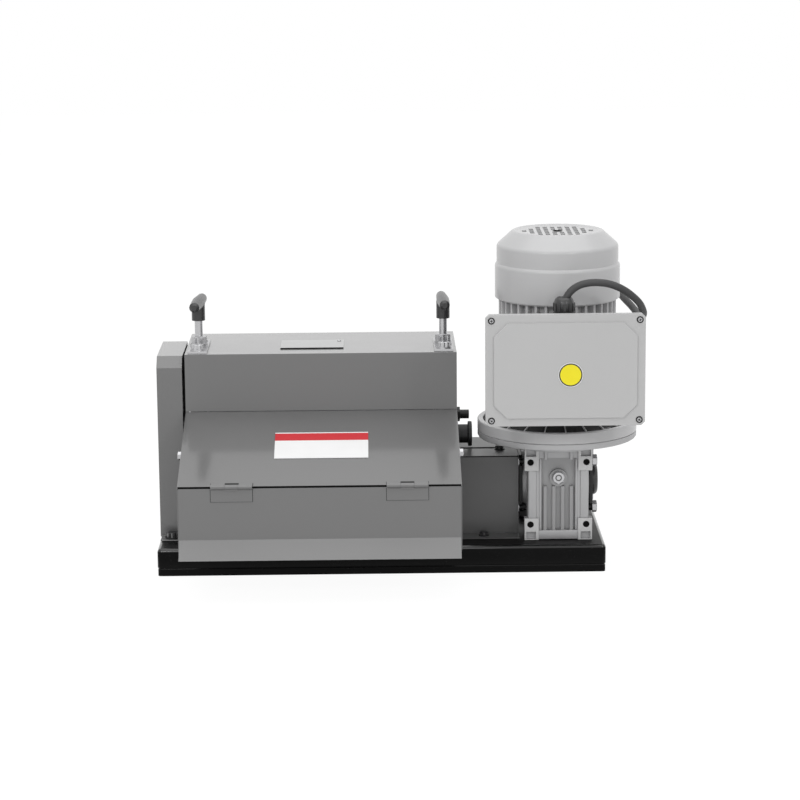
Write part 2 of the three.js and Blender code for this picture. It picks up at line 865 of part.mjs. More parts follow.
function makeCouplingCover() {
  const across = [couplingCoverLeft, couplingCoverRight];
  const bottom = sideBottom;
  const top = couplingCoverTop;
  const front = couplingCoverFront;
  const split = couplingCoverSplit;
  const frontOutline = [
    [front - coverFoot, bottom], [front + sheet, bottom], [front + sheet, top - sheet],
    [split, top - sheet], [split, top], [front, top], [front, bottom + sheet],
    [front - coverFoot, bottom + sheet],
  ];
  const back = couplingCoverBack;
  const rearStart = split + splitGap;
  const rearOutline = [
    [rearStart, top - sheet], [back - sheet, top - sheet], [back - sheet, bottom],
    [back, bottom], [back, top], [rearStart, top],
  ];
  const topHoles = couplingTopPlaces().map((place) => boltHole('z', top, overrun, place, smallBolt));
  add('coupling_cover_front', join(drawn('x', frontOutline, across), couplingCoverBolts()), greyPaint);
  const lapZ = [top - 2 * sheet - seat, top - sheet - seat];
  const lap = block(across, [split - coverLap, back - sheet - seat], lapZ);
  const rear = drawn('x', rearOutline, across);
  const tongue = block(across, [rearStart, rearStart + overrun], [top - 2 * sheet - seat, top - sheet]);
  add('coupling_cover_rear', cut(join(rear, lap, tongue), topHoles), greyPaint);
}

function couplingBoltX(share) {
  return couplingCoverLeft + (couplingCoverRight - couplingCoverLeft) * share;
}

function couplingFootPlaces() {
  return [[couplingBoltX(couplingBoltShares.foot), couplingCoverFront - coverFoot / 2]];
}

function couplingTopPlaces() {
  return [[couplingBoltX(couplingBoltShares.top), couplingCoverSplit - coverLap / 2]];
}

// Bolts of the coupling cover: one in its foot, one through the lap on top
function couplingCoverBolts() {
  const footBolt = { ...slimBolt, depth: sheet / 2 };
  const lapBolt = { ...slimBolt, depth: overrun + sheet };
  return [
    ...couplingFootPlaces().map((place) => hexBolt('z', 1, sideBottom + sheet, place, footBolt)),
    ...couplingTopPlaces().map((place) => hexBolt('z', 1, couplingCoverTop, place, lapBolt)),
  ];
}

// Reducer, drawn about its output axis
const reducer = new THREE.Group();
reducer.position.set(reducerX, shaftY, feedZ);
machine.add(reducer);

function makeReducerHousing() {
  const front = -reducerReach;
  const neck = reducerNeck;
  const foot = -reducerHeight;
  const half = footWidth / 2;
  const padSpanX = [[-half, -half + footPadWidth], [half - footPadWidth, half]];
  const lowPad = [foot, foot + footPadHeight];
  const highPad = [footHoleZ - footPadHeight / 2 + ribWidth, footHoleZ + footPadHeight / 2 + ribWidth];
  const padY = [front, front + footPadDepth];
  const pads = padSpanX.flatMap((x) => [lowPad, highPad].map((z) => block(x, padY, z)));
  const lowZ = [foot, foot + footPadHeight / 2];
  const rearPadY = [reducerBack - 2 * footPadDepth, reducerBack];
  const rearPads = padSpanX.map((x) => block(x, rearPadY, lowZ));
  const tall = [foot + frameWall, neck - frameWall];
  const columns = block([-columnHalf, columnHalf], [front + frameWall, -wormOffset], tall);
  const throat = [
    [0, neck - 2 * footPadDepth], [drumRadius - ribWidth, neck - footPadDepth],
    [drumRadius, neck], [0, neck],
  ];
  const solidBody = join(
    rod('x', drumRadius, [-bodyHalf, bodyHalf], [0, 0], bigSides),
    rod('z', barrelRadius, tall, [0, -wormOffset]),
    block([-bodyHalf, bodyHalf], [-wormOffset, reducerBack - footPadDepth], lowZ),
    columns,
    turned('z', throat, [0, -wormOffset]),
    rod('x', sideCoverHalf, [-half + seat, half - seat], [0, 0], bigSides),
    pads,
    rearPads,
  );
  const panelZ = [foot + footPadDepth, neck - 2 * footPadDepth];
  const panel = block([-panelHalf, panelHalf], [front - overrun, front + panelSink], panelZ);
  const ribZ = [foot + footPadDepth, plugRise - plugBossRadius];
  const ribs = [];
  for (let i = 0; i < panelRibs; i += 1) {
    const x = (i - (panelRibs - 1) / 2) * (panelHalf / 2);
    ribs.push(block(span(x, ribWidth), [front + frameWall, front + panelSink + overrun], ribZ));
  }
  const boss = rod('y', plugBossRadius, [front + frameWall, front + panelSink + overrun], [0, plugRise]);
  const holes = [-footHoleX, footHoleX].flatMap((x) => [-footHoleZ, footHoleZ].map((z) =>
    rod('y', footHoleRadius, [front - overrun, front + footPadDepth - frameWall], [x, z], boltSides)));
  const cavity = [
    rod('x', cavityRadius, [-cavityHalf, cavityHalf], [0, 0], bigSides),
    rod('z', wormWell, [-wormHalf - overrun, neck + overrun], [0, -wormOffset]),
    rod('x', wheelHub + running, [-half - overrun, half + overrun], [0, 0]),
  ];
  const body = join(cut(solidBody, panel), ribs, boss);
  const sink = [front - overrun, front + panelSink];
  const plugHole = rod('y', plugRadius / 2 + running, sink, [0, plugRise], boltSides);
  const through = [-half - overrun, half + overrun];
  const boltHoles = sideCoverBolts().map((place) =>
    rod('x', boltRadius + running, through, place, boltSides));
  add('reducer_housing', cut(body, cavity, holes, plugHole, boltHoles), castAlloy, reducer);
}

function sideCoverBolts() {
  const p = sideCoverBoltPlace;
  return [[-p, -p], [p, -p], [p, p], [-p, p]];
}

// Side covers of the reducer, each with its four bolts
function makeReducerSideCovers() {
  const near = footWidth / 2 + seat;
  const far = near + sideCoverThickness;
  const outline = cornered(span(0, 2 * sideCoverHalf), span(0, 2 * sideCoverHalf), sideCoverCorner);
  const bore = rod('x', outputRadius + running, [-far - overrun, far + overrun], [0, 0]);
  const parts = [
    ['left', [-far, -near], -1, boltHeadHeight / 3],
    ['right', [near, far], 1, boltHeadHeight],
  ];
  for (const [side, along, way, height] of parts) {
    const bolts = sideCoverBolts().map((place) =>
      hexBolt('x', way, way * far, place, { ...mediumBolt, height, washer: 0 }));
    add(`reducer_${side}_cover`, join(cut(drawn('x', outline, along), bore), bolts), blackOxide, reducer);
  }
}

function makeShaftCap() {
  const face = footWidth / 2 + sideCoverThickness + 2 * seat;
  const inside = capHeight - sheet;
  const profile = [
    [0, face + inside], [outputRadius + running, face + inside], [outputRadius + running, face],
    [capRadius, face], [capRadius, face + capHeight * capEdgeShare],
    [capRadius - 2 * sheet, face + capHeight],
    [0, face + capHeight],
  ];
  add('shaft_end_cap', turned('x', profile, [0, 0]), blackPlastic, reducer);
}

function makeOilPlug() {
  const face = -reducerReach + frameWall;
  const head = rod('y', plugRadius, [face - seat - plugHeight, face - seat], [0, plugRise], 6);
  const shank = rod('y', plugRadius / 2, [face - seat, face + overrun], [0, plugRise], boltSides);
  add('oil_plug', join(head, shank), zinc, reducer);
}

// Gears: straight teeth in an outline, given a slight twist where the mate is a worm
const toothShares = { root: 0.29, tip: 0.13, depth: 1.2, rise: 0.9 };
const threadShares = { start: 0.27, flank: 0.11 };
const grooveShares = { first: 0.3, step: 0.05 };

function gearOutline(teeth, rootRadius, tipRadius, startAngle) {
  const outline = [];
  const pitch = (2 * Math.PI) / teeth;
  for (let i = 0; i < teeth; i += 1) {
    const middle = startAngle + pitch * i;
    const corners = [
      [rootRadius, -toothShares.root], [tipRadius, -toothShares.tip],
      [tipRadius, toothShares.tip], [rootRadius, toothShares.root],
    ];
    for (const [radius, share] of corners) {
      const angle = middle + share * pitch;
      outline.push([radius * Math.cos(angle), radius * Math.sin(angle)]);
    }
  }
  return outline;
}

function spurGear(startAngle, centre) {
  const pitchRadius = (gearModule * gearTeeth) / 2;
  const root = pitchRadius - toothShares.depth * gearModule;
  const tip = pitchRadius + toothShares.rise * gearModule;
  const outline = gearOutline(gearTeeth, root, tip, startAngle)
    .map(([a, b]) => [a + centre[0], b + centre[1]]);
  const bore = circle(shaftRadius + seat, roundSides, centre);
  return drawn('x', outline, [gearX, gearX + gearWidth], [bore]);
}

const wheelPitchRadius = wormOffset - wormPitchRadius;
const threadPitch = (2 * Math.PI * wheelPitchRadius) / wheelTeeth;

function wormWheelSolid() {
  const tip = wheelPitchRadius + wormThread;
  const root = wheelPitchRadius - wormRoot;
  const bore = circle(outputRadius + seat, roundSides);
  const shape = shapeOf(gearOutline(wheelTeeth, root, tip, Math.PI), [bore]);
  const geometry = new THREE.ExtrudeGeometry(shape, { depth: wheelWidth, bevelEnabled: false, steps: 1 });
  geometry.translate(0, 0, -wheelWidth / 2);
  const lead = threadPitch / (2 * Math.PI * wormPitchRadius);
  const points = geometry.attributes.position;
  const point = new THREE.Vector3();
  const axis = new THREE.Vector3(0, 0, 1);
  for (let i = 0; i < points.count; i += 1) {
    point.fromBufferAttribute(points, i);
    point.applyAxisAngle(axis, (lead * point.z) / wheelPitchRadius);
    points.setXYZ(i, point.x, point.y, point.z);
  }
  geometry.applyMatrix4(new THREE.Matrix4().makeBasis(...axisFrames.x));
  return toSolid(geometry);
}

// Worm: one thread wound on a core, as a ring of points at each height
function threadRadius(height, angle) {
  const turns = height / threadPitch - (angle - Math.PI / 2) / (2 * Math.PI);
  const fromGap = Math.abs(turns - Math.round(turns));
  const rise = THREE.MathUtils.clamp((fromGap - threadShares.start) / threadShares.flank, 0, 1);
  return wormPitchRadius - wormRoot + rise * (wormRoot + wormThread);
}

function wormSolid() {
  const rings = 37;
  const columns = roundSides;
  const positions = [];
  const index = [];
  for (let j = 0; j < rings; j += 1) {
    const height = -wormHalf + (2 * wormHalf * j) / (rings - 1);
    for (let i = 0; i < columns; i += 1) {
      const angle = (2 * Math.PI * i) / columns;
      const radius = threadRadius(height, angle);
      positions.push(radius * Math.cos(angle), radius * Math.sin(angle), height);
    }
  }
  const low = rings * columns;
  positions.push(0, 0, -wormHalf, 0, 0, wormHalf);
  for (let i = 0; i < columns; i += 1) {
    const next = (i + 1) % columns;
    index.push(low, next, i);
    const top = (rings - 1) * columns;
    index.push(low + 1, top + i, top + next);
    for (let j = 0; j < rings - 1; j += 1) {
      const a = j * columns + i;
      const b = j * columns + next;
      index.push(a, b, a + columns, b, b + columns, a + columns);
    }
  }
  const geometry = new THREE.BufferGeometry();
  geometry.setAttribute('position', new THREE.Float32BufferAttribute(positions, 3));
  geometry.setIndex(index);
  return toSolid(geometry);
}

// Feed shaft with its grooved rollers, gear and coupling
function makeFeedShaft() {
  const end = couplingCentre - couplingGap;
  add('feed_shaft', rod('x', shaftRadius, [gearX - gearWall / 2, end], [shaftY, feedZ]), steel);
  const bore = shaftRadius + seat;
  const profile = [[bore, rollerSpan[0]], [rollerRadius, rollerSpan[0]]];
  for (let i = 0; i < channelCount; i += 1) {
    const half = (channelPitch / 2) * (grooveShares.first + grooveShares.step * i);
    const x = channelX(i);
    profile.push([rollerRadius, x - half], [rollerRadius - rollerGroove, x], [rollerRadius, x + half]);
  }
  profile.push([rollerRadius, rollerSpan[1]], [bore, rollerSpan[1]], [bore, rollerSpan[0]]);
  add('feed_rollers', turned('x', profile, [shaftY, feedZ]), steel);
  add('feed_gear', spurGear(Math.PI / 2, [shaftY, feedZ]), steel);
}

function makeCoupling() {
  const [from, to] = span(couplingCentre, couplingLength);
  const flange = (to - from) / 5;
  const profile = [
    [shaftRadius + seat, from], [couplingWaist, from], [couplingWaist, from + flange],
    [couplingRadius, from + flange], [couplingRadius, to - flange], [couplingWaist, to - flange],
    [couplingWaist, to], [shaftRadius + seat, to], [shaftRadius + seat, from],
  ];
  add('shaft_coupling', turned('x', profile, [shaftY, feedZ]), blackOxide);
}

// Output shaft of the reducer: full size in the wheel, stepped down for the coupling
function makeOutputShaft() {
  const half = footWidth / 2;
  const start = couplingCentre + couplingGap - reducerX;
  const profile = [
    [0, start], [shaftRadius, start], [shaftRadius, -half - sideCoverThickness - seat],
    [outputRadius, -half - sideCoverThickness - seat], [outputRadius, outputEnd + sideCoverThickness],
    [0, outputEnd + sideCoverThickness],
  ];
  add('output_shaft', turned('x', profile, [0, 0]), steel, reducer);
  const hubs = [[-wheelHubHalf, -wheelWidth / 2 + seat], [wheelWidth / 2 - seat, wheelHubHalf]]
    .map((along) => ring('x', wheelHub, outputRadius + seat, along, [0, 0]));
  add('worm_wheel', join(wormWheelSolid(), hubs), brass, reducer);
}

// Cutter shaft with its blades, spacers, gear and end collar
function makeCutterShaft() {
  const end = rightSideX + sideThickness / 2 + collarReach;
  const along = [gearX - gearWall / 2, end - seat];
  add('cutter_shaft', rod('x', shaftRadius, along, [shaftY, cutterZ]), steel);
  const bore = shaftRadius + seat;
  const half = bladeThickness / 2;
  const profile = [[bore, rollerSpan[0]], [spacerRadius, rollerSpan[0]]];
  for (let i = 0; i < channelCount; i += 1) {
    const x = channelX(i);
    profile.push(
      [spacerRadius, x - half], [bladeRadius - bladeEdge, x - half], [bladeRadius, x],
      [bladeRadius - bladeEdge, x + half], [spacerRadius, x + half],
    );
  }
  profile.push([spacerRadius, rollerSpan[1]], [bore, rollerSpan[1]], [bore, rollerSpan[0]]);
  add('cutter_blades', turned('x', profile, [shaftY, cutterZ]), zinc);
  const halfTooth = Math.PI / gearTeeth;
  add('cutter_gear', spurGear(Math.PI / 2 + halfTooth, [shaftY, cutterZ]), steel);
}

function makeEndCollar() {
  const face = rightSideX + sideThickness / 2 + running;
  const end = rightSideX + sideThickness / 2 + collarReach;
  const bore = shaftRadius + seat;
  const profile = [
    [bore, face + seat], [collarFlange, face + seat], [collarFlange, face + collarDisc],
    [collarHub, face + collarDisc], [collarHub, end - collarDisc], [collarFlange, end - collarDisc],
    [collarFlange, end], [bore, end], [bore, face + seat],
  ];
  add('cutter_shaft_collar', turned('x', profile, [shaftY, cutterZ]), blackOxide);
}

// Bearing blocks that slide in the side plates, each with a slot for the screw's foot
function makeBearingBlock(name, x) {
  const width = slotWidth - 2 * running;
  const body = block(span(x, sideThickness), span(shaftY, width), [cutterZ - blockDrop, blockTop]);
  const through = span(x, sideThickness + 2 * overrun);
  const bore = rod('x', bearingRadius + seat, through, [shaftY, cutterZ]);
  const slotFor = (radius, z) =>
    block(span(x, 2 * (radius + running)), [shaftY - width, shaftY + radius + running], z);
  const head = slotFor(screwCollar, [blockTop - slotLip - slotHead, blockTop - slotLip]);
  const neck = slotFor(screwRadius, [blockTop - slotLip - slotHead / 2, blockTop + overrun]);
  add(name, cut(body, bore, head, neck), castAlloy);
}

function makeSlidingBearings() {
  for (const [side, x] of sides) {
    const inner = shaftRadius + running;
    const bearing = ring('x', bearingRadius, inner, span(x, bearingWidth), [shaftY, cutterZ]);
    add(`${side}_cutter_bearing`, bearing, steel);
  }
}

// Adjusting screw with its captive foot, and the T handle on top, drawn about the screw's axis
function makeScrew(side, x, turn) {
  const holder = new THREE.Group();
  holder.position.set(x, shaftY, 0);
  holder.rotation.z = THREE.MathUtils.degToRad(turn);
  machine.add(holder);
  const foot = [blockTop - slotLip - slotHead + seat, blockTop - slotLip - seat];
  const stem = rod('z', screwRadius, [foot[0], handleFoot + screwGrip], [0, 0], boltSides);
  const collar = rod('z', screwCollar, foot, [0, 0], boltSides);
  add(`${side}_screw`, join(stem, collar), zinc, holder);
  const barZ = handleFoot + handleHubHeight;
  const half = handleLength / 2;
  const bar = turned('y', [
    [0, -half], [handleTip - handleRound, -half], [handleTip, -half + handleRound],
    [handleBar, 0], [handleTip, half - handleRound], [handleTip - handleRound, half], [0, half],
  ], [0, barZ], 16);
  const hub = rod('z', handleHub, [handleFoot, barZ], [0, 0], 16);
  const deep = [handleFoot - overrun, handleFoot + screwGrip + seat];
  const bore = rod('z', screwRadius + seat, deep, [0, 0], boltSides);
  add(`${side}_handle`, cut(join(bar, hub), bore), blackPlastic, holder);
}

// Motor, drawn about its axis from the underside of its flange
const motor = new THREE.Group();
motor.position.set(reducerX, wormY, motorZ);
machine.add(motor);

function flangeBoltPlaces() {
  return [45, 135, 225, 315].map((degrees) => {
    const angle = THREE.MathUtils.degToRad(degrees);
    return [flangeBoltCircle * Math.cos(angle), flangeBoltCircle * Math.sin(angle)];
  });
}

function makeInputFlange() {
  const low = -seat - inputFlangeThickness;
  const profile = [
    [inputFlangeBore, low], [flangeRadius - flangeEdge, low], [flangeRadius, low + flangeEdge],
    [flangeRadius, -seat], [inputFlangeBore, -seat], [inputFlangeBore, low],
  ];
  const reach = inputFlangeThickness + overrun;
  const holes = flangeBoltPlaces().map((place) => boltHole('z', low, reach, place));
  add('input_flange', cut(turned('z', profile, [0, 0], bigSides), holes), castAlloy, motor);
}

function makeMotorFlange() {
  const floor = motorFlangeFloor;
  const profile = [
    [bellBore, 0], [flangeRadius, 0], [flangeRadius, motorFlangeHeight],
    [flangeRadius - motorFlangeRim, motorFlangeHeight], [flangeRadius - motorFlangeRim, floor],
    [bellRadius, floor], [bellRadius, bellHeight], [bellBore, bellHeight], [bellBore, 0],
  ];
  const body = turned('z', profile, [0, 0], bigSides);
  const reach = flangeRadius - motorFlangeRim / 2;
  const ribs = [];
  for (let i = 0; i < flangeRibs; i += 1) {
    const tall = [floor / 2, motorFlangeHeight - floor / 2];
    const rib = block([bellRadius - ribWidth, reach], span(0, flangeRibWidth), tall);
    ribs.push(rib.rotate([0, 0, (360 * (i + 0.5)) / flangeRibs]));
  }
  add('motor_flange', join(body, ribs, flangeBolts()), lightPaint, motor);
}

function flangeBolts() {
  const depth = motorFlangeFloor + inputFlangeThickness + seat;
  return flangeBoltPlaces().map((place) =>
    hexBolt('z', 1, motorFlangeFloor, place, { ...mediumBolt, depth, washer: 0 }));
}

function finnedOutline() {
  const outline = [];
  const pitch = (2 * Math.PI) / finCount;
  for (let i = 0; i < finCount; i += 1) {
    const middle = pitch * (i + 0.5);
    const half = (pitch * finShare) / 2;
    const tip = half * finTipShare;
    const points = [
      [statorRadius, middle - half], [statorRadius + finReach, middle - tip],
      [statorRadius + finReach, middle + tip], [statorRadius, middle + half],
    ];
    for (const [radius, angle] of points) {
      outline.push([radius * Math.cos(angle), radius * Math.sin(angle)]);
    }
  }
  return outline;
}

function makeMotorHousing() {
  const low = bellHeight + seat;
  const body = drawn('z', finnedOutline(), [low, low + statorHeight], [circle(statorBore, bigSides)]);
  const padFront = boxFront + lidDepth + boxBodyDepth + 2 * seat - wormY;
  const pad = cut(
    block(span(0, padWidth), [padFront, -statorRadius + overrun], [padBottom, padTop]),
    rod('z', statorBore, [padBottom - overrun, padTop + overrun], [0, 0], bigSides),
  );
  const rearPad = block(span(0, 2 * glandRadius), [statorRadius - overrun, statorRadius + finReach],
    span(low + motorGlandZ, 2 * glandRadius));
  const top = low + statorHeight;
  const spigot = cowlRadius - cowlSheet - seat;
  const tail = ring('z', spigot, rotorShaftRadius + running, [top - sheet, top + cowlLap], [0, 0]);
  add('motor_housing', join(body, pad, rearPad, tail), lightPaint, motor);
}

// Fan cowl: a spun shell with slots in its top
function cowlProfile() {
  const s = cowlSheet;
  const shoulderZ = cowlStart + cowlBand;
  const domeZ = shoulderZ + cowlShoulderHeight;
  const topZ = domeZ + cowlDomeHeight;
  const outer = [
    [cowlRadius, cowlStart], [cowlRadius, shoulderZ], [cowlShoulder, shoulderZ + s],
    [cowlShoulder, domeZ], [cowlShoulder - s * 2, domeZ + s * 3],
    [cowlDomeRadius + s, topZ - s], [cowlDomeRadius - s, topZ], [0, topZ + cowlCrown],
  ];
  const inner = [
    [0, topZ + cowlCrown - s], [cowlDomeRadius - (3 * s) / 2, topZ - s],
    [cowlShoulder - s * 3, domeZ + s * 2],
    [cowlShoulder - s, domeZ - s], [cowlShoulder - s, shoulderZ], [cowlRadius - s, shoulderZ - s],
    [cowlRadius - s, cowlStart], [cowlRadius, cowlStart],
  ];
  return [...outer, ...inner];
}

function makeFanCowl() {
  const topZ = cowlStart + cowlBand + cowlShoulderHeight + cowlDomeHeight;
  const shell = turned('z', cowlProfile(), [0, 0], bigSides);
  const slots = [];
  for (let i = 0; i < grilleSlots; i += 1) {
    const x = grillePitch * (i - (grilleSlots - 1) / 2);
    const reach = Math.sqrt(grilleRadius ** 2 - x ** 2);
    const across = span(x, grilleWidth);
    const start = Math.abs(x) < grilleHub ? grilleHub : grilleWidth / 4;
    slots.push(block(across, [start, reach], [topZ - overrun, topZ + overrun]));
    slots.push(block(across, [-reach, -start], [topZ - overrun, topZ + overrun]));
  }
  add('fan_cowl', cut(shell, slots), lightPaint, motor);
}

// Rotor on its shaft, the worm on the shaft's lower end, the fan on its upper
function makeRotor() {
  const wormZ = feedZ - motorZ;
  const shaft = rod('z', rotorShaftRadius, [wormZ + wormHalf + seat, fanLow + fanHeight], [0, 0]);
  const core = rod('z', rotorRadius, [rotorLow, rotorHigh], [0, 0], bigSides);
  add('rotor', join(shaft, core), steel, motor);
  add('worm', wormSolid().translate([0, 0, wormZ]), steel, motor);
  const hub = ring('z', fanHub, rotorShaftRadius + seat, [fanLow, fanLow + fanHeight], [0, 0]);
  const blades = [];
  for (let i = 0; i < fanBlades; i += 1) {
    const tall = [fanLow, fanLow + fanHeight];
    const blade = block([fanHub - sheet, fanRadius], span(0, fanBladeThickness), tall);
    blades.push(blade.rotate([0, 0, (360 * i) / fanBlades]));
  }
  add('cooling_fan', join(hub, blades), blackPlastic, motor);
}

// Control box, drawn from the middle of its lower front edge
const controlBox = new THREE.Group();
controlBox.position.set(reducerX, boxFront, boxBottom);
machine.add(controlBox);

function makeControlBox() {
  const bodyX = span(0, boxWidth - 2 * lidProud);
  const bodyZ = [lidProud, boxHeight - lidProud];
  const bodyY = [lidDepth + seat, lidDepth + seat + boxBodyDepth];
  const outside = drawn('y', cornered(bodyX, bodyZ, boxCorner / 2), bodyY);
  const hollow = block([bodyX[0] + boxWall, bodyX[1] - boxWall], [bodyY[0] - overrun, bodyY[1] - boxWall],
    [bodyZ[0] + boxWall, bodyZ[1] - boxWall]);
  const entryZ = [bodyZ[1] - 2 * boxWall, bodyZ[1] + overrun];
  const entry = rod('z', glandNeck + running, entryZ, glandPlace(), boltSides);
  add('control_box', cut(outside, hollow, entry), boxPlastic, controlBox);
}

function glandPlace() {
  return [0, lidDepth + seat + boxBodyDepth / 2];
}

// Lid: a stepped tray with a raised panel whose corners are cut for the screws
function makeControlLid() {
  const outline = cornered(span(0, boxWidth), [0, boxHeight], boxCorner / 2);
  const border = lidBorder;
  const panelX = [-boxWidth / 2 + border, boxWidth / 2 - border];
  const panel = cornered(panelX, [border, boxHeight - border], lidChamfer);
  const base = drawn('y', outline, [lidStep, lidDepth]);
  const raised = drawn('y', panel, [0, lidStep + seat]);
  const hollow = block([-boxWidth / 2 + boxWall + lidProud, boxWidth / 2 - boxWall - lidProud],
    [lidStep + boxWall, lidDepth + overrun], [boxWall + lidProud, boxHeight - boxWall - lidProud]);
  add('control_lid', join(cut(join(base, raised), hollow), lidScrews()), boxPlastic, controlBox);
}

function lidScrewPlaces() {
  const x = boxWidth / 2 - boxScrewPlace;
  const z = [boxScrewPlace, boxHeight - boxScrewPlace];
  return [[-x, z[0]], [x, z[0]], [x, z[1]], [-x, z[1]]];
}

function lidScrews() {
  return lidScrewPlaces().map((place) =>
    rod('y', boxScrewRadius, [lidStep - boxScrewHeight, lidStep + seat], place, boltSides));
}

function makeSticker() {
  const centre = [stickerRight, boxHeight / 2 - stickerBelow];
  const disc = rod('y', stickerRadius, [-seat - stickerThickness, -seat], centre);
  add('lid_sticker', disc, yellowVinyl, controlBox);
}

// Cable gland: a hexagon and a domed nut, bored for the lead
function gland(axis, face, side, centre) {
  const out = (distance) => face + side * distance;
  const profile = [
    [leadRadius + seat, out(seat)], [glandRadius, out(seat)], [glandRadius, out(glandHex)],
    [glandRadius - glandStep, out(glandHex + glandDome / 2)],
    [leadRadius + glandFlare + seat, out(glandHex + glandDome)],
    [leadRadius + glandFlare, out(glandHex + glandDome)], [leadRadius + seat, out(glandHex + seat)],
    [leadRadius + seat, out(seat)],
  ];
  return turned(axis, profile, centre, boltSides);
}

function makeGlands() {
  const top = boxHeight - lidProud;
  add('box_gland', gland('z', top, 1, glandPlace()), blackPlastic, controlBox);
  const face = statorRadius + finReach;
  add('motor_gland', gland('y', face, 1, [0, bellHeight + seat + motorGlandZ]), blackPlastic, motor);
}

// The lead's middle line, from inside one gland to inside the other
function leadRoute() {
  const boxTop = boxBottom + boxHeight - lidProud;
  const start = new THREE.Vector3(reducerX, boxFront + glandPlace()[1], boxTop + leadStart);
  const endY = wormY + statorRadius + finReach + leadEnd;
  const end = new THREE.Vector3(reducerX, endY, motorZ + bellHeight + seat + motorGlandZ);
  const from = (origin, shares) => shares.map((share) =>
    new THREE.Vector3(...share).multiplyScalar(leadSpan).add(origin));
  return new THREE.CatmullRomCurve3([...from(start, leadOutShares), ...from(end, leadBackShares)]);
}

function makeLead() {
  const section = shapeOf(circle(leadRadius, leadSides));
  const options = { steps: leadSteps, extrudePath: leadRoute(), bevelEnabled: false };
  add('motor_lead', toSolid(new THREE.ExtrudeGeometry(section, options)), blackPlastic);
}

makeBase();
makeSidePlate('left_side_plate', leftSideX);
makeSidePlate('right_side_plate', rightSideX);
makeTieRods();
makeFeedPlate();
makeOutletBar();
makeFixedBearings();
makeCapBars();
makeHeadCover();
makeCoverPlate();
makeGearCase();
makeFrontGuard();
makeGuardArms();
makeGuardLabel();
makeFlap();
makeCouplingCover();
makeReducerHousing();
makeReducerSideCovers();
makeShaftCap();
makeOilPlug();
makeFeedShaft();
makeCoupling();
makeOutputShaft();
makeCutterShaft();
makeEndCollar();
makeBearingBlock('left_bearing_block', leftSideX);
makeBearingBlock('right_bearing_block', rightSideX);
makeSlidingBearings();
makeScrew('left', leftSideX, leftHandleTurn);
makeScrew('right', rightSideX, rightHandleTurn);
makeInputFlange();
makeMotorFlange();
makeMotorHousing();
makeFanCowl();
makeRotor();
makeControlBox();
makeControlLid();
makeSticker();
makeGlands();
makeLead();

export default machine;
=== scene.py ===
# %% [markdown]
# # A wire stripping machine
# The machine is a bench tool: a guarded roller head, a worm reducer and an upright motor on
# a folded base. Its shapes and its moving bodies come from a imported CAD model, which stays
# as it is. This file dresses it: it rounds the edges that a real sheet or casting has, adds
# the small parts that repeat, and gives every surface a finish made of shader nodes.

import json
import math

import bmesh
import bpy
from mathutils import Matrix, Vector


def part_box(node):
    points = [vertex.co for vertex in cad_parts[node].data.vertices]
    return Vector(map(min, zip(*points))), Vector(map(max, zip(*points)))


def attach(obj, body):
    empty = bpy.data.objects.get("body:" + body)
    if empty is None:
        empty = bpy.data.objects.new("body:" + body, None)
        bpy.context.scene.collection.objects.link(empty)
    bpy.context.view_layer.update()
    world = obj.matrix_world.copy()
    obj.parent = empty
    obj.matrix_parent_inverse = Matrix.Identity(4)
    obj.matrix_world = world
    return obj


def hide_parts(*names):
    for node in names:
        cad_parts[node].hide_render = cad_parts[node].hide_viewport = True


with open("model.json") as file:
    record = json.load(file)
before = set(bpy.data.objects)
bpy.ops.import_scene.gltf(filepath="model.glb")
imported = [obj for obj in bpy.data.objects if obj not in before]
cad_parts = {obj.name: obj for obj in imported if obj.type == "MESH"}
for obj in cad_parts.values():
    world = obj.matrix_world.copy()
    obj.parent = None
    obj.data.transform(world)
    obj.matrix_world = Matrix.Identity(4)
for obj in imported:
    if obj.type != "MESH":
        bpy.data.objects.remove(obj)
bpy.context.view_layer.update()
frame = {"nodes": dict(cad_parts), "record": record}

# %% [markdown]
# ## Camera
# The photograph was taken from the front, a little above the machine, with a long lens. A
# camera could be aimed with a Track To constraint, but that has no roll. So its axes are
# worked out from three small angles, which were fitted to edges whose real sizes are known.

# %% Camera
LENS_PIXELS, IMAGE_PIXELS, SENSOR = 2682.65, 800, 36.0
PITCH, YAW, ROLL = 0.2006, -0.0102, -0.0085
CAMERA_PLACE = Vector((-0.00875, -3.3978, 0.8823))


def placed(name, data):
    """A new object in the scene that holds the data."""
    thing = bpy.data.objects.new(name, data)
    bpy.context.collection.objects.link(thing)
    return thing


def camera_axes():
    right = Vector((math.cos(YAW), math.sin(YAW), 0))
    ahead = Vector((-math.sin(YAW), math.cos(YAW), 0)) * math.cos(PITCH)
    ahead.z = -math.sin(PITCH)
    up = right.cross(ahead)
    turned_right = right * math.cos(ROLL) + up * math.sin(ROLL)
    turned_up = up * math.cos(ROLL) - right * math.sin(ROLL)
    return turned_right, turned_up, -ahead


camera_data = bpy.data.cameras.new("camera")
camera_data.sensor_width = SENSOR
camera_data.lens = LENS_PIXELS / IMAGE_PIXELS * SENSOR
camera_data.clip_start, camera_data.clip_end = 0.1, 60
camera = placed("camera", camera_data)
camera_turn = Matrix(camera_axes()).transposed().to_4x4()
camera.matrix_world = Matrix.Translation(CAMERA_PLACE) @ camera_turn
bpy.context.scene.camera = camera
print("lens of", round(camera_data.lens, 1), "mm")

# %% [markdown]
# ## Node trees as expressions
# A shader or a geometry tree could be wired by hand, link by link, but it is easier to read
# as arithmetic. `Wire` wraps one output, and its operators add Math nodes. `Tree.make` adds
# any other node from its type, what its sockets hold and its settings, which are set first.

# %% Wires


def operator(operation, reflected=False):
    """A method that adds one Math node."""
    def method(self, other):
        a, b = (other, self) if reflected else (self, other)
        return self.tree.math(operation, a, b)
    return method


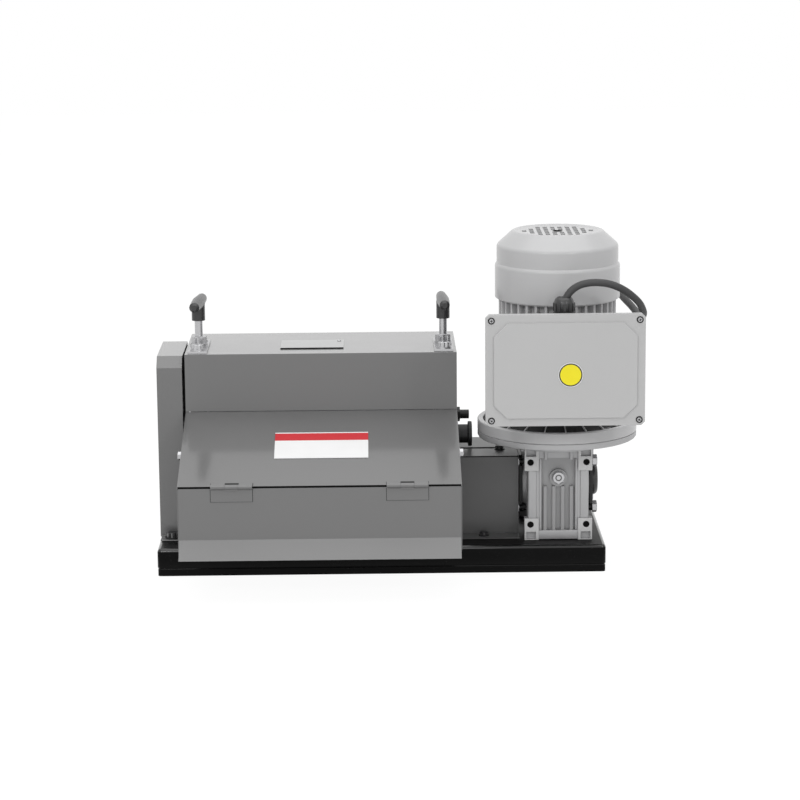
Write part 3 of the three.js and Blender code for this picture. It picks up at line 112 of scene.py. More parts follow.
class Wire:
    def __init__(self, tree, socket):
        self.tree, self.socket = tree, socket

    __add__ = __radd__ = operator("ADD")
    __mul__ = __rmul__ = operator("MULTIPLY")
    __sub__, __rsub__ = operator("SUBTRACT"), operator("SUBTRACT", reflected=True)
    __truediv__, __rtruediv__ = operator("DIVIDE"), operator("DIVIDE", reflected=True)
    __gt__, __lt__ = operator("GREATER_THAN"), operator("LESS_THAN")


print("operators ready")

# %% Trees


class Tree:
    def __init__(self, node_tree):
        self.nodes, self.links = node_tree.nodes, node_tree.links

    def feed(self, socket, value):
        for item in value if isinstance(value, list) else [value]:
            if isinstance(item, Wire):
                self.links.new(item.socket, socket)
            else:
                socket.default_value = item

    def make(self, kind, sockets=None, settings=None, output=0):
        node = self.nodes.new(kind)
        for key, value in (settings or {}).items():
            setattr(node, key, value)
        for key, value in (sockets or {}).items():
            self.feed(node.inputs[key], value)
        return Wire(self, node.outputs[output]) if len(node.outputs) else node

    def outputs(self, wire):
        """Every output of the wire's node, by name."""
        return {socket.name: Wire(self, socket) for socket in wire.socket.node.outputs}

    def math(self, operation, a, b=0.0):
        return self.make("ShaderNodeMath", {0: a, 1: b}, {"operation": operation})

    def split(self, vector):
        return list(self.outputs(self.make("ShaderNodeSeparateXYZ", {0: vector})).values())

    def vector(self, x=0.0, y=0.0, z=0.0):
        return self.make("ShaderNodeCombineXYZ", {0: x, 1: y, 2: z})

    def mix(self, factor, a, b):
        settings = {"data_type": "RGBA", "clamp_factor": True}
        return self.make("ShaderNodeMix", {0: factor, 6: a, 7: b}, settings, 2)


print("node helpers ready")

# %% [markdown]
# ## Finishes
# The machine is painted sheet, cast alloy, plated steel and plastic. These differ in numbers
# more than in kind, so one recipe makes them all: a colour whose tone drifts a little over
# the surface, a roughness that drifts with it, and a fine bump for orange peel or grain.
# Patterns read Object coordinates, which stay with the piece when it moves.

# %% The common recipe
DUST_SIZE, DUST_LEVEL, DUST_TONE = 0.0016, 0.68, 0.6
ROUGHNESS_DRIFT, ROUGHNESS_GRAIN = 0.16, 0.08


def grey(level):
    return (level, level, level)


def tinted(colour, share):
    return (*[min(1.0, c * share) for c in colour], 1)


def noise(tree, place, size, detail=3.0, roughness=0.5):
    return tree.make("ShaderNodeTexNoise", {
        "Vector": place, "Scale": 1 / size, "Detail": detail, "Roughness": roughness})


def opened(material):
    """The tree of a finish, its shader and the place on the piece."""
    tree = Tree(material.node_tree)
    place = tree.make("ShaderNodeTexCoord", output="Object")
    return tree, tree.nodes["Principled BSDF"], place


def new_finish(name):
    material = bpy.data.materials.new(name)
    material.use_nodes = True
    return material, *opened(material)


def bumped(tree, shader, height, depth):
    bump = tree.make("ShaderNodeBump", {"Height": height, "Strength": 1.0, "Distance": depth})
    tree.feed(shader.inputs["Normal"], bump)


def finish(name, colour, roughness, metallic=0.0, coat=0.0, drift=0.06, drift_size=0.09,
           grain=0.00002, grain_size=0.0012, specks=0.0, shine=0.5, coat_roughness=0.12):
    material, tree, shader, place = new_finish(name)
    even = {"Metallic": metallic, "Coat Weight": coat, "Coat Roughness": coat_roughness,
            "Specular IOR Level": shine}
    for label, level in even.items():
        shader.inputs[label].default_value = level
    clouds = noise(tree, place, drift_size)
    fine = noise(tree, place, grain_size, 2.0)
    base = tree.mix(clouds, tinted(colour, 1 - drift), tinted(colour, 1 + drift))
    if specks:
        dust = noise(tree, place, DUST_SIZE, 4.0, 0.7) > DUST_LEVEL
        base = tree.mix(dust * specks, base, (*grey(DUST_TONE), 1))
    tree.feed(shader.inputs["Base Color"], base)
    tree.feed(shader.inputs["Roughness"], (clouds - 0.5) * ROUGHNESS_DRIFT
              + (fine - 0.5) * ROUGHNESS_GRAIN + roughness)
    bumped(tree, shader, fine, grain)
    return material


print("recipe ready")

# %% [markdown]
# ## Table of finishes
# Each finish is a row of numbers for that recipe, named for the surface that it covers. The
# tones were set against the photograph's and moved until the render agreed with them. A
# table keeps them side by side, so a paint can be compared with its neighbour.

# %% Table of finishes
BLACK_PAINT = dict(colour=grey(0.004), roughness=0.3, drift=0.2, grain=0.00004,
                   grain_size=0.0016, specks=0.1)
RECIPES = {
    "black_paint": dict(**BLACK_PAINT, shine=0.12),
    "grey_paint": dict(colour=grey(0.135), roughness=0.42, coat=1.0, drift=0.03,
                       grain=0.00003, grain_size=0.0014),
    "dark_grey_paint": dict(colour=grey(0.105), roughness=0.42, coat=0.1, drift=0.05,
                            grain=0.00004, grain_size=0.0014),
    "motor_paint": dict(colour=(0.49, 0.49, 0.495), roughness=0.45, coat=0.6, drift=0.03,
                        grain_size=0.001, coat_roughness=0.24),
    # The next two rows are painted shade: near-black colours laid where shade falls, in hollows,
    # holes, gaps and under edges.
    "painted_soft_shade": dict(colour=grey(0.03), roughness=0.6, drift=0.1, shine=0.2),
    "painted_deep_shade": dict(colour=grey(0.006), roughness=0.7, drift=0.1, shine=0.05),
    "bare_plate": dict(colour=grey(0.2), roughness=0.32, coat=1.0, drift=0.04, grain=0.00001),
    "machined_pad": dict(colour=grey(0.6), roughness=0.42, metallic=0.1, drift=0.04,
                         drift_size=0.02, grain=0.00008),
    "machined_alloy": dict(colour=grey(0.72), roughness=0.35, metallic=0.5, drift=0.04,
                           grain=0.00003, grain_size=0.0006),
    "flat_steel": dict(colour=grey(0.45), roughness=0.36, metallic=0.9, drift_size=0.04,
                       grain=0.00003),
    "zinc": dict(colour=(0.5, 0.5, 0.51), roughness=0.28, metallic=0.9, drift=0.07,
                 drift_size=0.02, grain=0.000006, grain_size=0.0008),
    "bronze": dict(colour=(0.6, 0.4, 0.18), roughness=0.35, metallic=0.9, drift=0.08,
                   grain=0.00005),
    "black_oxide": dict(colour=(0.02, 0.02, 0.021), roughness=0.42, metallic=0.3, drift=0.2,
                        drift_size=0.02, grain=0.00004),
    "black_plastic": dict(colour=(0.022, 0.022, 0.023), roughness=0.4, coat=0.25, drift=0.1,
                          grain=0.00005, grain_size=0.0007),
    "box_plastic": dict(colour=grey(0.5), roughness=0.45, drift=0.02, grain=0.00003,
                        grain_size=0.0007),
    "lead_rubber": dict(colour=(0.04, 0.04, 0.041), roughness=0.55, drift=0.08,
                        grain=0.00006, grain_size=0.0009),
}
FINISHES = {name: finish(name, **recipe) for name, recipe in RECIPES.items()}
print(len(FINISHES), "common finishes")

# %% [markdown]
# ## Pieces
# A dressed shape becomes a piece: an object at the origin with a finish, a body to ride on and,
# often, a CAD node that it stands for. One helper does all of that. Most shapes here are a skin
# from ring to ring of points, which is easier to keep closed than separate faces, so one more
# helper makes that skin.

# %% Placing a piece


def new_piece(name, mesh, finish_name, body="frame", stands_for=None):
    piece = placed(name, mesh)
    if finish_name:
        mesh.materials.clear()
        mesh.materials.append(FINISHES[finish_name])
    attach(piece, body)
    if stands_for:
        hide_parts(stands_for)
    return piece


def shade(mesh, degrees):
    mesh.shade_smooth()
    mesh.set_sharp_from_angle(angle=math.radians(degrees))


def mesh_of(work, name):
    mesh = bpy.data.meshes.new(name)
    work.to_mesh(mesh)
    work.free()
    return mesh


def circle(sides):
    return [2 * math.pi * i / sides for i in range(sides)]


def skinned(name, rings, closed=False):
    """A skin over rings of points: one point is a pole, and an open end gets a cap."""
    work = bmesh.new()
    rings = [[work.verts.new(place) for place in ring] for ring in rings]
    for ring in () if closed else (rings[0], rings[-1]):
        if len(ring) > 1:
            work.faces.new(ring)
    if closed:
        rings.append(rings[0])
    for first, second in zip(rings, rings[1:]):
        count = max(len(first), len(second))
        for i in range(count):
            j = (i + 1) % count
            corners = [first[i % len(first)], first[j % len(first)],
                       second[j % len(second)], second[i % len(second)]]
            work.faces.new(list(dict.fromkeys(corners)))
    bmesh.ops.recalc_face_normals(work, faces=work.faces)
    return mesh_of(work, name)


print("piece helpers ready")

# %% [markdown]
# ## The motor's lead
# The lead is a stiff rubber cable, 9 mm thick, held by a gland at each end. It rises out of
# the box's gland, arches over to the right, dips behind the box and comes round the back of
# the motor. Its route is the CAD's: a smooth curve through a few points, in tenths of a
# millimetre from each gland.

# %% Route of the lead
LEAD_RADIUS, LEAD_SIDES, TENTH_MM = 0.0045, 20, 0.0001
LEAD_START, LEAD_END = Vector((0.2224, -0.2097, 0.3511)), Vector((0.2224, -0.007, 0.2684))
LEAD_OUT = [
    (0, 0, 0), (37, 6, 81), (93, 8, 152), (175, 3, 208), (279, -8, 240), (409, -12, 247),
    (565, 7, 220), (739, 54, 135), (911, 176, -20), (995, 368, -178), (1002, 607, -287),
    (996, 868, -321), (980, 1131, -303)]
LEAD_BACK = [
    (940, -638, 561), (884, -384, 604), (835, -127, 645), (787, 131, 672), (710, 383, 666),
    (586, 605, 602), (412, 748, 469), (222, 753, 291), (78, 612, 128), (10, 378, 31),
    (0, 116, 1), (0, 0, 0)]


def smooth_route(points, steps=6):
    """A Catmull-Rom curve through the points."""
    ends = [points[0] * 2 - points[1], *points, points[-1] * 2 - points[-2]]
    route = []
    for a, b, c, d in zip(ends, ends[1:], ends[2:], ends[3:]):
        for t in (i / steps for i in range(steps)):
            route.append(0.5 * (2 * b + (c - a) * t + (2 * a - 5 * b + 4 * c - d) * t * t
                                + (3 * b - a - 3 * c + d) * t * t * t))
    return [*route, points[-1]]


lead_route = smooth_route([LEAD_START + Vector(p) * TENTH_MM for p in LEAD_OUT]
                          + [LEAD_END + Vector(p) * TENTH_MM for p in LEAD_BACK])

# %% [markdown]
# ## The lead's round section
# So a ring of points follows the route, with a frame that never twists, and a skin joins the
# rings.

# %% The lead as a cord


def tube_rings(route, radius, sides):
    side, rings = Vector((1, 0, 0)), []
    for i, place in enumerate(route):
        ahead = (route[min(i + 1, len(route) - 1)] - route[max(i - 1, 0)]).normalized()
        side = (side - ahead * side.dot(ahead)).normalized()
        up = ahead.cross(side)
        rings.append([place + (side * math.cos(a) + up * math.sin(a)) * radius
                      for a in circle(sides)])
    return rings


lead_mesh = skinned("motor_lead_sheath", tube_rings(lead_route, LEAD_RADIUS, LEAD_SIDES))
shade(lead_mesh, 50)
lead = new_piece("motor_lead_sheath", lead_mesh, "lead_rubber", stands_for="motor_lead")
print(len(lead_mesh.polygons), "faces of the lead")

# %% [markdown]
# ## Turned steel
# Shafts, rollers and blades are turned on a lathe, which leaves fine rings. Modelled rings
# would be too many faces, so a wave along the shaft's axis shakes the bump and the roughness.

# %% Turned steel
RING_PITCH = 0.0009


def turned_steel():
    material, tree, shader, place = new_finish("steel")
    shader.inputs["Metallic"].default_value = 0.95
    rings = tree.math("SINE", tree.split(place)[0] * (2 * math.pi / RING_PITCH)) * 0.5 + 0.5
    clouds = noise(tree, place, 0.02)
    tree.feed(shader.inputs["Base Color"],
              tree.mix(clouds, (*grey(0.45), 1), (*grey(0.55), 1)))
    tree.feed(shader.inputs["Roughness"], rings * 0.08 + (clouds - 0.5) * 0.14 + 0.3)
    bumped(tree, shader, rings, 0.00003)
    return material


FINISHES["steel"] = turned_steel()
print("turned steel ready")

# %% [markdown]
# ## Cast alloy and the base's paint
# Inside the panel with the plug, the casting's colour is darkened: painted shade of the recess.
# The base's black paint shines only along its bends, where it is rubbed. Both could be
# painted on an image, but a box tested with Object coordinates needs no image and no UVs.

# %% Finishes with a region of their own
PLUG_PANEL = ((0.2003, 0.2445), (-0.1235, -0.112), (0.046, 0.1405))
PANEL_PAINTED_SHADE, GROOVE_SHINE = 0.26, 0.5
BEND, SHINE_WIDTH, SHINE_DEPTH = 0.005, 0.0044, 0.004
GROOVE = (0.0082, 0.0089, 0.0099, 0.0105)


def within(wire, low, high):
    return (wire > low) * (wire < high)


def cast_alloy():
    material = finish("cast_alloy", (0.45, 0.45, 0.455), 0.5, metallic=0.35, drift=0.08,
                      drift_size=0.03, grain=0.00015, grain_size=0.0016)
    tree, shader, place = opened(material)
    base = Wire(tree, shader.inputs["Base Color"].links[0].from_socket)
    x, y, z = [within(wire, *span) for wire, span in zip(tree.split(place), PLUG_PANEL)]
    # painted shade: the casting is darker inside the plug's panel
    tree.feed(shader.inputs["Base Color"],
              tree.mix(x * y * z * PANEL_PAINTED_SHADE, base, (*grey(0.03), 1)))
    return material


def base_paint():
    material = finish("base_paint", **BLACK_PAINT, shine=0.07)
    low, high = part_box("base_pan")
    tree, shader, place = opened(material)
    x, y, z = tree.split(place)
    from_sides = tree.math("MINIMUM", x - low.x, high.x - x)
    from_ends = tree.math("MINIMUM", y - low.y, high.y - y)
    at_edge = tree.math("MINIMUM", from_sides, from_ends) < SHINE_WIDTH
    bend = at_edge * (z > high.z - SHINE_DEPTH)
    groove = within(z, GROOVE[0] - TENTH_MM, GROOVE[1] + TENTH_MM)
    tree.feed(shader.inputs["Coat Weight"], tree.math("MAXIMUM", bend, groove * GROOVE_SHINE))
    return material


FINISHES.update(cast_alloy=cast_alloy(), base_paint=base_paint())
print("cast alloy and base paint ready")

# %% [markdown]
# ## Plates and stickers
# The plate on the guard is blank white vinyl with a plain red stripe, and the sticker on
# the control box is a plain yellow disc with a thin dark rim. Each could be a stack of thin
# pieces. A pattern worked out from the distance to an edge or a centre stays in one piece.

# %% Plate and sticker finishes
STRIPE, RIM = (0.0195, 0.0022), (0.84, 0.94)


def middle(node):
    low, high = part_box(node)
    return (low + high) / 2


def vinyl(name, pattern, cloud_size):
    """Vinyl with a soft gloss and the colour that a pattern gives."""
    material, tree, shader, place = new_finish(name)
    clouds = noise(tree, place, cloud_size)
    tree.feed(shader.inputs["Base Color"], pattern(tree, clouds, place))
    tree.feed(shader.inputs["Roughness"], clouds * 0.1 + 0.3)
    return material


def striped(tree, clouds, place):
    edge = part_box("guard_label")[1].y
    white = tree.mix(clouds, (*grey(0.86), 1), (*grey(0.92), 1))
    stripe = within(tree.split(place)[1], edge - STRIPE[0], edge - STRIPE[1])
    return tree.mix(stripe, white, (0.6, 0.02, 0.03, 1))


def rimmed_disc(tree, clouds, place):
    low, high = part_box("lid_sticker")
    centre, radius = middle("lid_sticker"), (high.x - low.x) / 2
    x, _, z = tree.split(place)
    across, up = x - centre.x, z - centre.z
    distance = tree.math("SQRT", across * across + up * up)
    yellow = tree.mix(clouds, (0.86, 0.74, 0.005, 1), (0.95, 0.84, 0.01, 1))
    disc = tree.mix(distance > radius * RIM[1], yellow, (*grey(0.85), 1))
    rim = within(distance, radius * RIM[0], radius * RIM[1])
    return tree.mix(rim, disc, (*grey(0.02), 1))


FINISHES["white_vinyl"] = vinyl("striped_vinyl", striped, 0.03)
FINISHES["yellow_vinyl"] = vinyl("yellow_vinyl", rimmed_disc, 0.02)
print("plate finishes ready")

# %% [markdown]
# ## Finishes on the CAD nodes
# Every node names its material slot in the record, so one loop dresses them all. A rounded
# copy or a new piece hides most of them later, and a node that stays plain is dressed too.

# %% Dressing the nodes
NODE_SLOTS = {s["node"]: s["material_slot"] for s in frame["record"]["subparts"]}
FLAT_STEEL_NODES = {"feed_plate", "outlet_bar", "left_guard_arm", "right_guard_arm",
                    "feed_gear", "cutter_gear"}


def finish_of(node):
    return "flat_steel" if node in FLAT_STEEL_NODES else NODE_SLOTS[node]


def body_of(node):
    bodies = frame["record"]["behaviour"]["bodies"]
    return next(body for body, members in bodies.items() if node in members)


for node, thing in frame["nodes"].items():
    thing.data.materials.clear()
    thing.data.materials.append(FINISHES[finish_of(node)])
print(len(frame["nodes"]), "nodes dressed")

# %% [markdown]
# ## Rounded copies
# A folded sheet has no knife edges and a casting none at all. The edges could be rounded by
# hand, but a Bevel modifier does it by angle. A copy of the node's mesh first has its loose
# triangles joined and its flat faces made whole. A Weighted Normal modifier then gives each
# large face its own flat normal, so that no streaks of shading cross a sheet.

# %% Plain meshes


def settled(source, name):
    """The evaluated mesh of an object with modifiers; the object itself is removed."""
    bpy.context.view_layer.update()
    graph = bpy.context.evaluated_depsgraph_get()
    mesh = bpy.data.meshes.new_from_object(source.evaluated_get(graph))
    mesh.name = name
    bpy.data.objects.remove(source)
    return mesh


def merged_mesh(node):
    work = bmesh.new()
    work.from_mesh(frame["nodes"][node].data)
    bmesh.ops.remove_doubles(work, verts=work.verts, dist=0.000005)
    bmesh.ops.dissolve_limit(work, angle_limit=math.radians(0.8), use_dissolve_boundaries=False,
                             verts=work.verts, edges=work.edges)
    return mesh_of(work, node + "_merged")


def joined_mesh(name, boxes, *meshes):
    """Boxes, each between two corners, and meshes, as one mesh."""
    work = bmesh.new()
    for low, high in boxes:
        low, high = Vector(low), Vector(high)
        bmesh.ops.create_cube(work, size=1.0, matrix=Matrix.Translation((low + high) / 2)
                              @ Matrix.Diagonal((*(high - low), 1)))
    for mesh in meshes:
        work.from_mesh(mesh)
    return mesh_of(work, name)


print("mesh helpers ready")

# %% Rounding a node


def add_cut(draft, cutter):
    cut = draft.modifiers.new("cut", "BOOLEAN")
    cut.operation, cut.solver, cut.object = "DIFFERENCE", "EXACT", cutter


def add_bevel(draft, radius):
    bevel = draft.modifiers.new("edges", "BEVEL")
    bevel.width, bevel.segments = radius, 2
    bevel.limit_method, bevel.angle_limit = "ANGLE", math.radians(32)


def bevelled(mesh, name, radius, cutter=None):
    mesh.shade_smooth()
    draft = placed(name + "_draft", mesh)
    if cutter:
        add_cut(draft, cutter)
    add_bevel(draft, radius)
    even = draft.modifiers.new("even", "WEIGHTED_NORMAL")
    even.mode, even.weight, even.keep_sharp = "FACE_AREA", 100, False
    result = settled(draft, name)
    if cutter:
        bpy.data.objects.remove(cutter)
    return result


def rounded(node, radius, cutter=None):
    mesh = bevelled(merged_mesh(node), node + "_rounded", radius, cutter)
    new_piece(node + "_dressed", mesh, finish_of(node), body_of(node), node)


ROUNDED_NODES = {
    0.0002: "cover_plate",
    0.0003: "feed_gear cutter_gear worm_wheel",
    0.0004: "feed_plate",
    0.0005: "front_guard guard_flap outlet_bar left_guard_arm right_guard_arm left_cap_bar "
            "right_cap_bar oil_plug",
    0.0006: "left_side_plate right_side_plate coupling_cover_front coupling_cover_rear "
            "reducer_left_cover reducer_right_cover left_bearing_block right_bearing_block "
            "upper_tie_rod front_tie_rod rear_tie_rod",
    0.0008: "cutter_shaft_collar feed_shaft cutter_shaft output_shaft input_flange",
    0.001: "left_handle right_handle shaft_coupling",
    0.0012: "head_cover gear_case shaft_end_cap",
    0.002: "control_box",
}
for radius, nodes in ROUNDED_NODES.items():
    for node in nodes.split():
        rounded(node, radius)
    print(len(nodes.split()), "nodes rounded by", radius * 1000, "mm")

# %% [markdown]
# ## The folded base
# The base's top edges and corners are bent over a wide radius, and a groove runs round it
# a centimetre above the bench. A Bevel modifier would round every edge alike, so the bends
# are picked and bevelled one by one. Planes then cut the walls, and points move inwards.

# %% Folded base
GROOVE_IN, LIP_IN, CLOSE, UPRIGHT, WALL_BAND = 0.0014, 0.0004, 1e-5, 0.01, 0.001


def on_side(place, low, high):
    return min(abs(place[axis] - side[axis]) for axis in (0, 1) for side in (low, high)) < CLOSE


def is_bend(edge, low, high):
    """True for the top's outer edges and for the four upright corners."""
    a, b = [vert.co for vert in edge.verts]
    outside = on_side(a, low, high) and on_side(b, low, high)
    along_top = max(abs(a.z - high.z), abs(b.z - high.z)) < CLOSE
    return outside and (along_top or abs(a.z - b.z) > UPRIGHT)


def folded_base():
    low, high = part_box("base_pan")
    work = bmesh.new()
    work.from_mesh(merged_mesh("base_pan"))
    bends = [edge for edge in work.edges if is_bend(edge, low, high)]
    bmesh.ops.bevel(work, geom=bends, offset=BEND, segments=5, affect="EDGES", profile=0.5)
    for height in GROOVE:
        bmesh.ops.bisect_plane(work, geom=work.verts[:] + work.edges[:] + work.faces[:],
                               plane_co=(0, 0, height), plane_no=(0, 0, 1))
    for vert in work.verts:
        if vert.co.z < GROOVE[3] - TENTH_MM:
            step = GROOVE_IN if vert.co.z > GROOVE[0] + TENTH_MM else LIP_IN
            for axis in (0, 1):
                if vert.co[axis] > high[axis] - WALL_BAND:
                    vert.co[axis] -= step
                elif vert.co[axis] < low[axis] + WALL_BAND:
                    vert.co[axis] += step
    mesh = mesh_of(work, "folded_base")
    shade(mesh, 35)
    return mesh


base = new_piece("base_pan_dressed", folded_base(), "base_paint",
                 stands_for="base_pan")
print(len(base.data.polygons), "faces of the base")

# %% [markdown]
# ## Turned pieces
# What is made on a lathe or by spinning is a profile turned about an axis. The CAD solid
# has few sides, which is enough for contact but shows as flats in a highlight. A Screw
# modifier could turn a drawn edge; a list of radii and places is easier to read and change.

# %% Turning a profile
AXIS_TURNS = {"x": Matrix.Rotation(math.pi / 2, 4, "Y"), "z": Matrix.Identity(4),
              "y": Matrix.Rotation(-math.pi / 2, 4, "X")}


def turned_mesh(name, profile, centre, axis="z", sides=96, smooth=35):
    """Turns (radius, place) points; a profile that starts off the axis is closed."""
    rings = [[(radius * math.cos(a), radius * math.sin(a), place) for a in circle(sides)]
             if radius else [(0, 0, place)] for radius, place in profile]
    mesh = skinned(name, rings, closed=profile[0][0] > 0)
    mesh.transform(Matrix.Translation(centre) @ AXIS_TURNS[axis])
    shade(mesh, smooth)
    return mesh


def turned(name, profile, centre, finish_name, body="frame", slot=None, stands_for=None, **how):
    mesh = turned_mesh(name, profile, centre, **how)
    new_piece(name, mesh, finish_name, body, stands_for)


def tube(inner, outer, low, high):
    """The profile of a plain tube, or of a rod where the inner radius is 0."""
    return [(inner, low), (outer, low), (outer, high), (inner, high)]


print("lathe ready")

# %% [markdown]
# ## Geometry nodes for what repeats
# Bolts, fins, ribs, blades and slots repeat. Each could be copied in a Python loop, but a
# small Geometry Nodes tree with named sizes can be tried out by hand in Blender. The tree
# ends in Realize Instances and Set Material, and its result is kept as a plain mesh, because
# instances don't survive the export.

# %% Building a tree
FLOAT, WHOLE, VECTOR = "NodeSocketFloat", "NodeSocketInt", "NodeSocketVector"
MATERIAL, GEOMETRY = "NodeSocketMaterial", "NodeSocketGeometry"


def new_growth(name, **inputs):
    """A geometry tree with named inputs: returns it, a Tree over it and its input wires."""
    group = bpy.data.node_groups.new(name, "GeometryNodeTree")
    group.interface.new_socket("Geometry", in_out="OUTPUT", socket_type=GEOMETRY)
    for label, kind in {"Geometry": GEOMETRY, **inputs}.items():
        group.interface.new_socket(label.replace("_", " "), in_out="INPUT", socket_type=kind)
    tree = Tree(group)
    return group, tree, tree.outputs(tree.make("NodeGroupInput"))


def dressed(tree, geometry, material):
    return tree.make("GeometryNodeSetMaterial", {"Geometry": geometry, "Material": material})


def end_growth(tree, geometry, material=None):
    whole = tree.make("GeometryNodeRealizeInstances", {0: geometry})
    if material:
        whole = dressed(tree, whole, material)
    tree.make("NodeGroupOutput", {0: whole})


print("tree helpers ready")

# %% Parts of a tree


def moved(tree, geometry, translation, rotation=(0.0, 0.0, 0.0)):
    return tree.make("GeometryNodeTransform", {
        "Geometry": geometry, "Translation": translation, "Rotation": rotation})


def joined(tree, parts):
    return tree.make("GeometryNodeJoinGeometry", {0: parts})


def stood(tree, points, instance, rotation=(0.0, 0.0, 0.0)):
    return tree.make("GeometryNodeInstanceOnPoints", {
        "Points": points, "Instance": instance, "Rotation": rotation})


def cylinder(tree, sides, radius, depth):
    return tree.make("GeometryNodeMeshCylinder", {
        "Vertices": sides, "Radius": radius, "Depth": depth}, {"fill_type": "NGON"})


def cone(tree, sides, bottom, top, depth):
    return tree.make("GeometryNodeMeshCone", {
        "Vertices": sides, "Radius Bottom": bottom, "Radius Top": top, "Depth": depth},
        {"fill_type": "NGON"})


def block(tree, x, y, z):
    return tree.make("GeometryNodeMeshCube", {"Size": tree.vector(x, y, z)})


print("tree parts ready")

# %% Growing a tree


def grown(group, name, values, points=((0, 0, 0),)):
    """Runs a tree on a few points and returns its result as a plain mesh."""
    seeds = bpy.data.meshes.new(name + "_points")
    seeds.from_pydata([tuple(p) for p in points], [], [])
    draft = placed(name + "_draft", seeds)
    modifier = draft.modifiers.new("growth", "NODES")
    modifier.node_group = group
    for item in group.interface.items_tree:
        if item.in_out == "INPUT" and item.name in values:
            modifier[item.identifier] = values[item.name]
    return settled(draft, name)


print("growth helpers ready")

# %% [markdown]
# ## Bolts
# Every bolt of the machine is a hex head on a washer with a turned crown. They could be
# copies of one bolt model; the tree makes the bolt from its sizes, stands it on each point
# and turns it with one vector, so a row of bolts is a list of points.

# %% The bolt tree
TOWARDS = {"+z": (0, 0, 0), "+x": (0, math.pi / 2, 0), "-x": (0, -math.pi / 2, 0)}
CROWN_SHARE = 0.14


def build_bolt_tree():
    group, tree, given = new_growth(
        "hex_bolts", Head_Radius=FLOAT, Head_Height=FLOAT, Washer_Radius=FLOAT,
        Washer_Height=FLOAT, Direction=VECTOR, Material=MATERIAL)
    radius, height = given["Head Radius"], given["Head Height"]
    plate = given["Washer Height"]
    flank = height * (1 - CROWN_SHARE)
    head = moved(tree, cylinder(tree, 6, radius, flank), tree.vector(z=plate + flank * 0.5))
    crown = moved(tree, cone(tree, 24, radius * 0.87, radius * 0.74, height * CROWN_SHARE),
                  tree.vector(z=plate + flank))
    washer = moved(tree, cylinder(tree, 32, given["Washer Radius"], plate),
                   tree.vector(z=plate * 0.5))
    bolt = joined(tree, [head, crown, washer])
    end_growth(tree, stood(tree, given["Geometry"], bolt, given["Direction"]), given["Material"])
    return group


BOLT_TREE = build_bolt_tree()


def bolts(name, points, towards, head, height, washer, washer_height, finish_name="zinc"):
    mesh = grown(BOLT_TREE, name, {
        "Head Radius": head, "Head Height": height, "Washer Radius": washer,
        "Washer Height": washer_height, "Direction": TOWARDS[towards],
        "Material": FINISHES[finish_name]}, points)
    shade(mesh, 30)
    new_piece(name, mesh, finish_name)


print("bolt tree ready")

# %% [markdown]
# ## Where the bolts stand
# The CAD nodes hold each bolt as part of the piece that it fastens. Cutting those off would
# risk the sheets, so the dressed bolts sit over them, a few tenths of a millimetre larger,
# in bright zinc or black. Their places come from the boxes of the nodes that carry them.

# %% Bolts of the head and the covers
MEDIUM = {"head": 0.0078, "height": 0.0058, "washer": 0.0095, "washer_height": 0.0018}
SMALL = {"head": 0.0053, "height": 0.0043, "washer": 0.0066, "washer_height": 0.0008}
LOCK_NUT = {"head": 0.01, "height": 0.0088, "washer": 0.0112, "washer_height": 0.0034}
BAR_TOP, FOOT_TOP, LID_TOP, SHAFT_Y = 0.2733, 0.0368, 0.137, -0.042
BAR_INSET, CASE_INSET = 0.010, 0.012
GUARD_BOLTS = {"left": (-0.2452, "-x"), "right": (0.0970, "+x")}

for side, (face, towards) in GUARD_BOLTS.items():
    low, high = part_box(side + "_cap_bar")
    x = middle(side + "_cap_bar").x
    bar_ends = [(x, y, BAR_TOP) for y in (low.y + BAR_INSET, high.y - BAR_INSET)]
    bolts(side + "_cap_bolts", bar_ends, "+z", **MEDIUM)
    bolts(side + "_lock_nut", [(x, SHAFT_Y, BAR_TOP)], "+z", **LOCK_NUT)
    bolts(side + "_guard_bolt", [(face, -0.170, 0.1585)], towards, **SMALL)

case_low, case_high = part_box("gear_case")
case_ends = [(middle("gear_case").x, y, FOOT_TOP)
             for y in (case_low.y + CASE_INSET, case_high.y - CASE_INSET)]
bolts("gear_case_bolts", case_ends, "+z", finish_name="black_oxide", **MEDIUM)
bolts("coupling_foot_bolt", [(0.1296, -0.105, FOOT_TOP)], "+z", finish_name="black_oxide",
      **SMALL)
bolts("coupling_lap_bolt", [(0.1518, -0.054, LID_TOP)], "+z", finish_name="black_oxide", **SMALL)
print("head bolts stand")

# %% [markdown]
# ## Adjusting screws
# Each screw is a zinc plated rod with a thread where it passes the lock nut, and a round
# foot in the bearing block. A true helix would cost many faces and its slant can't be seen
# here, so the thread is a profile that rises and falls, turned like the rest.

# %% Adjusting screws
STEM_RADIUS, THREAD_DEPTH, THREAD_PITCH = 0.005, 0.0005, 0.0015
THREAD_LOW, THREAD_HIGH = 0.2, 0.284
SCREW_FOOT, SCREW_FOOT_HEIGHT = 0.0079, 0.0074


def stem_profile(low, high):
    profile = [(0, low), (STEM_RADIUS, low), (STEM_RADIUS, THREAD_LOW)]
    for i in range(int((THREAD_HIGH - THREAD_LOW) / THREAD_PITCH)):
        root = THREAD_LOW + (i + 0.5) * THREAD_PITCH
        profile += [(STEM_RADIUS - THREAD_DEPTH, root), (STEM_RADIUS, root + THREAD_PITCH / 2)]
    return [*profile, (STEM_RADIUS, high), (0, high)]


for side in ("left", "right"):
    node, body = side + "_screw", side + "_adjuster"
    low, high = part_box(node)
    axis = Vector((*middle(node).xy, 0))
    turned(side + "_stem", stem_profile(low.z, high.z), axis, "zinc", body, stands_for=node,
           sides=32, smooth=25)
    turned(side + "_screw_foot", tube(0, SCREW_FOOT, low.z, low.z + SCREW_FOOT_HEIGHT), axis,
           "zinc", body, sides=32)
print("adjusting screws ready")

# %% [markdown]
# ## Reducer housing
# The housing is cast, with a foot block at each corner of its face and a shallow pocket in
# each block. A bump can't show a real edge, so the pockets are cut from the rounded casting
# by a Boolean modifier.

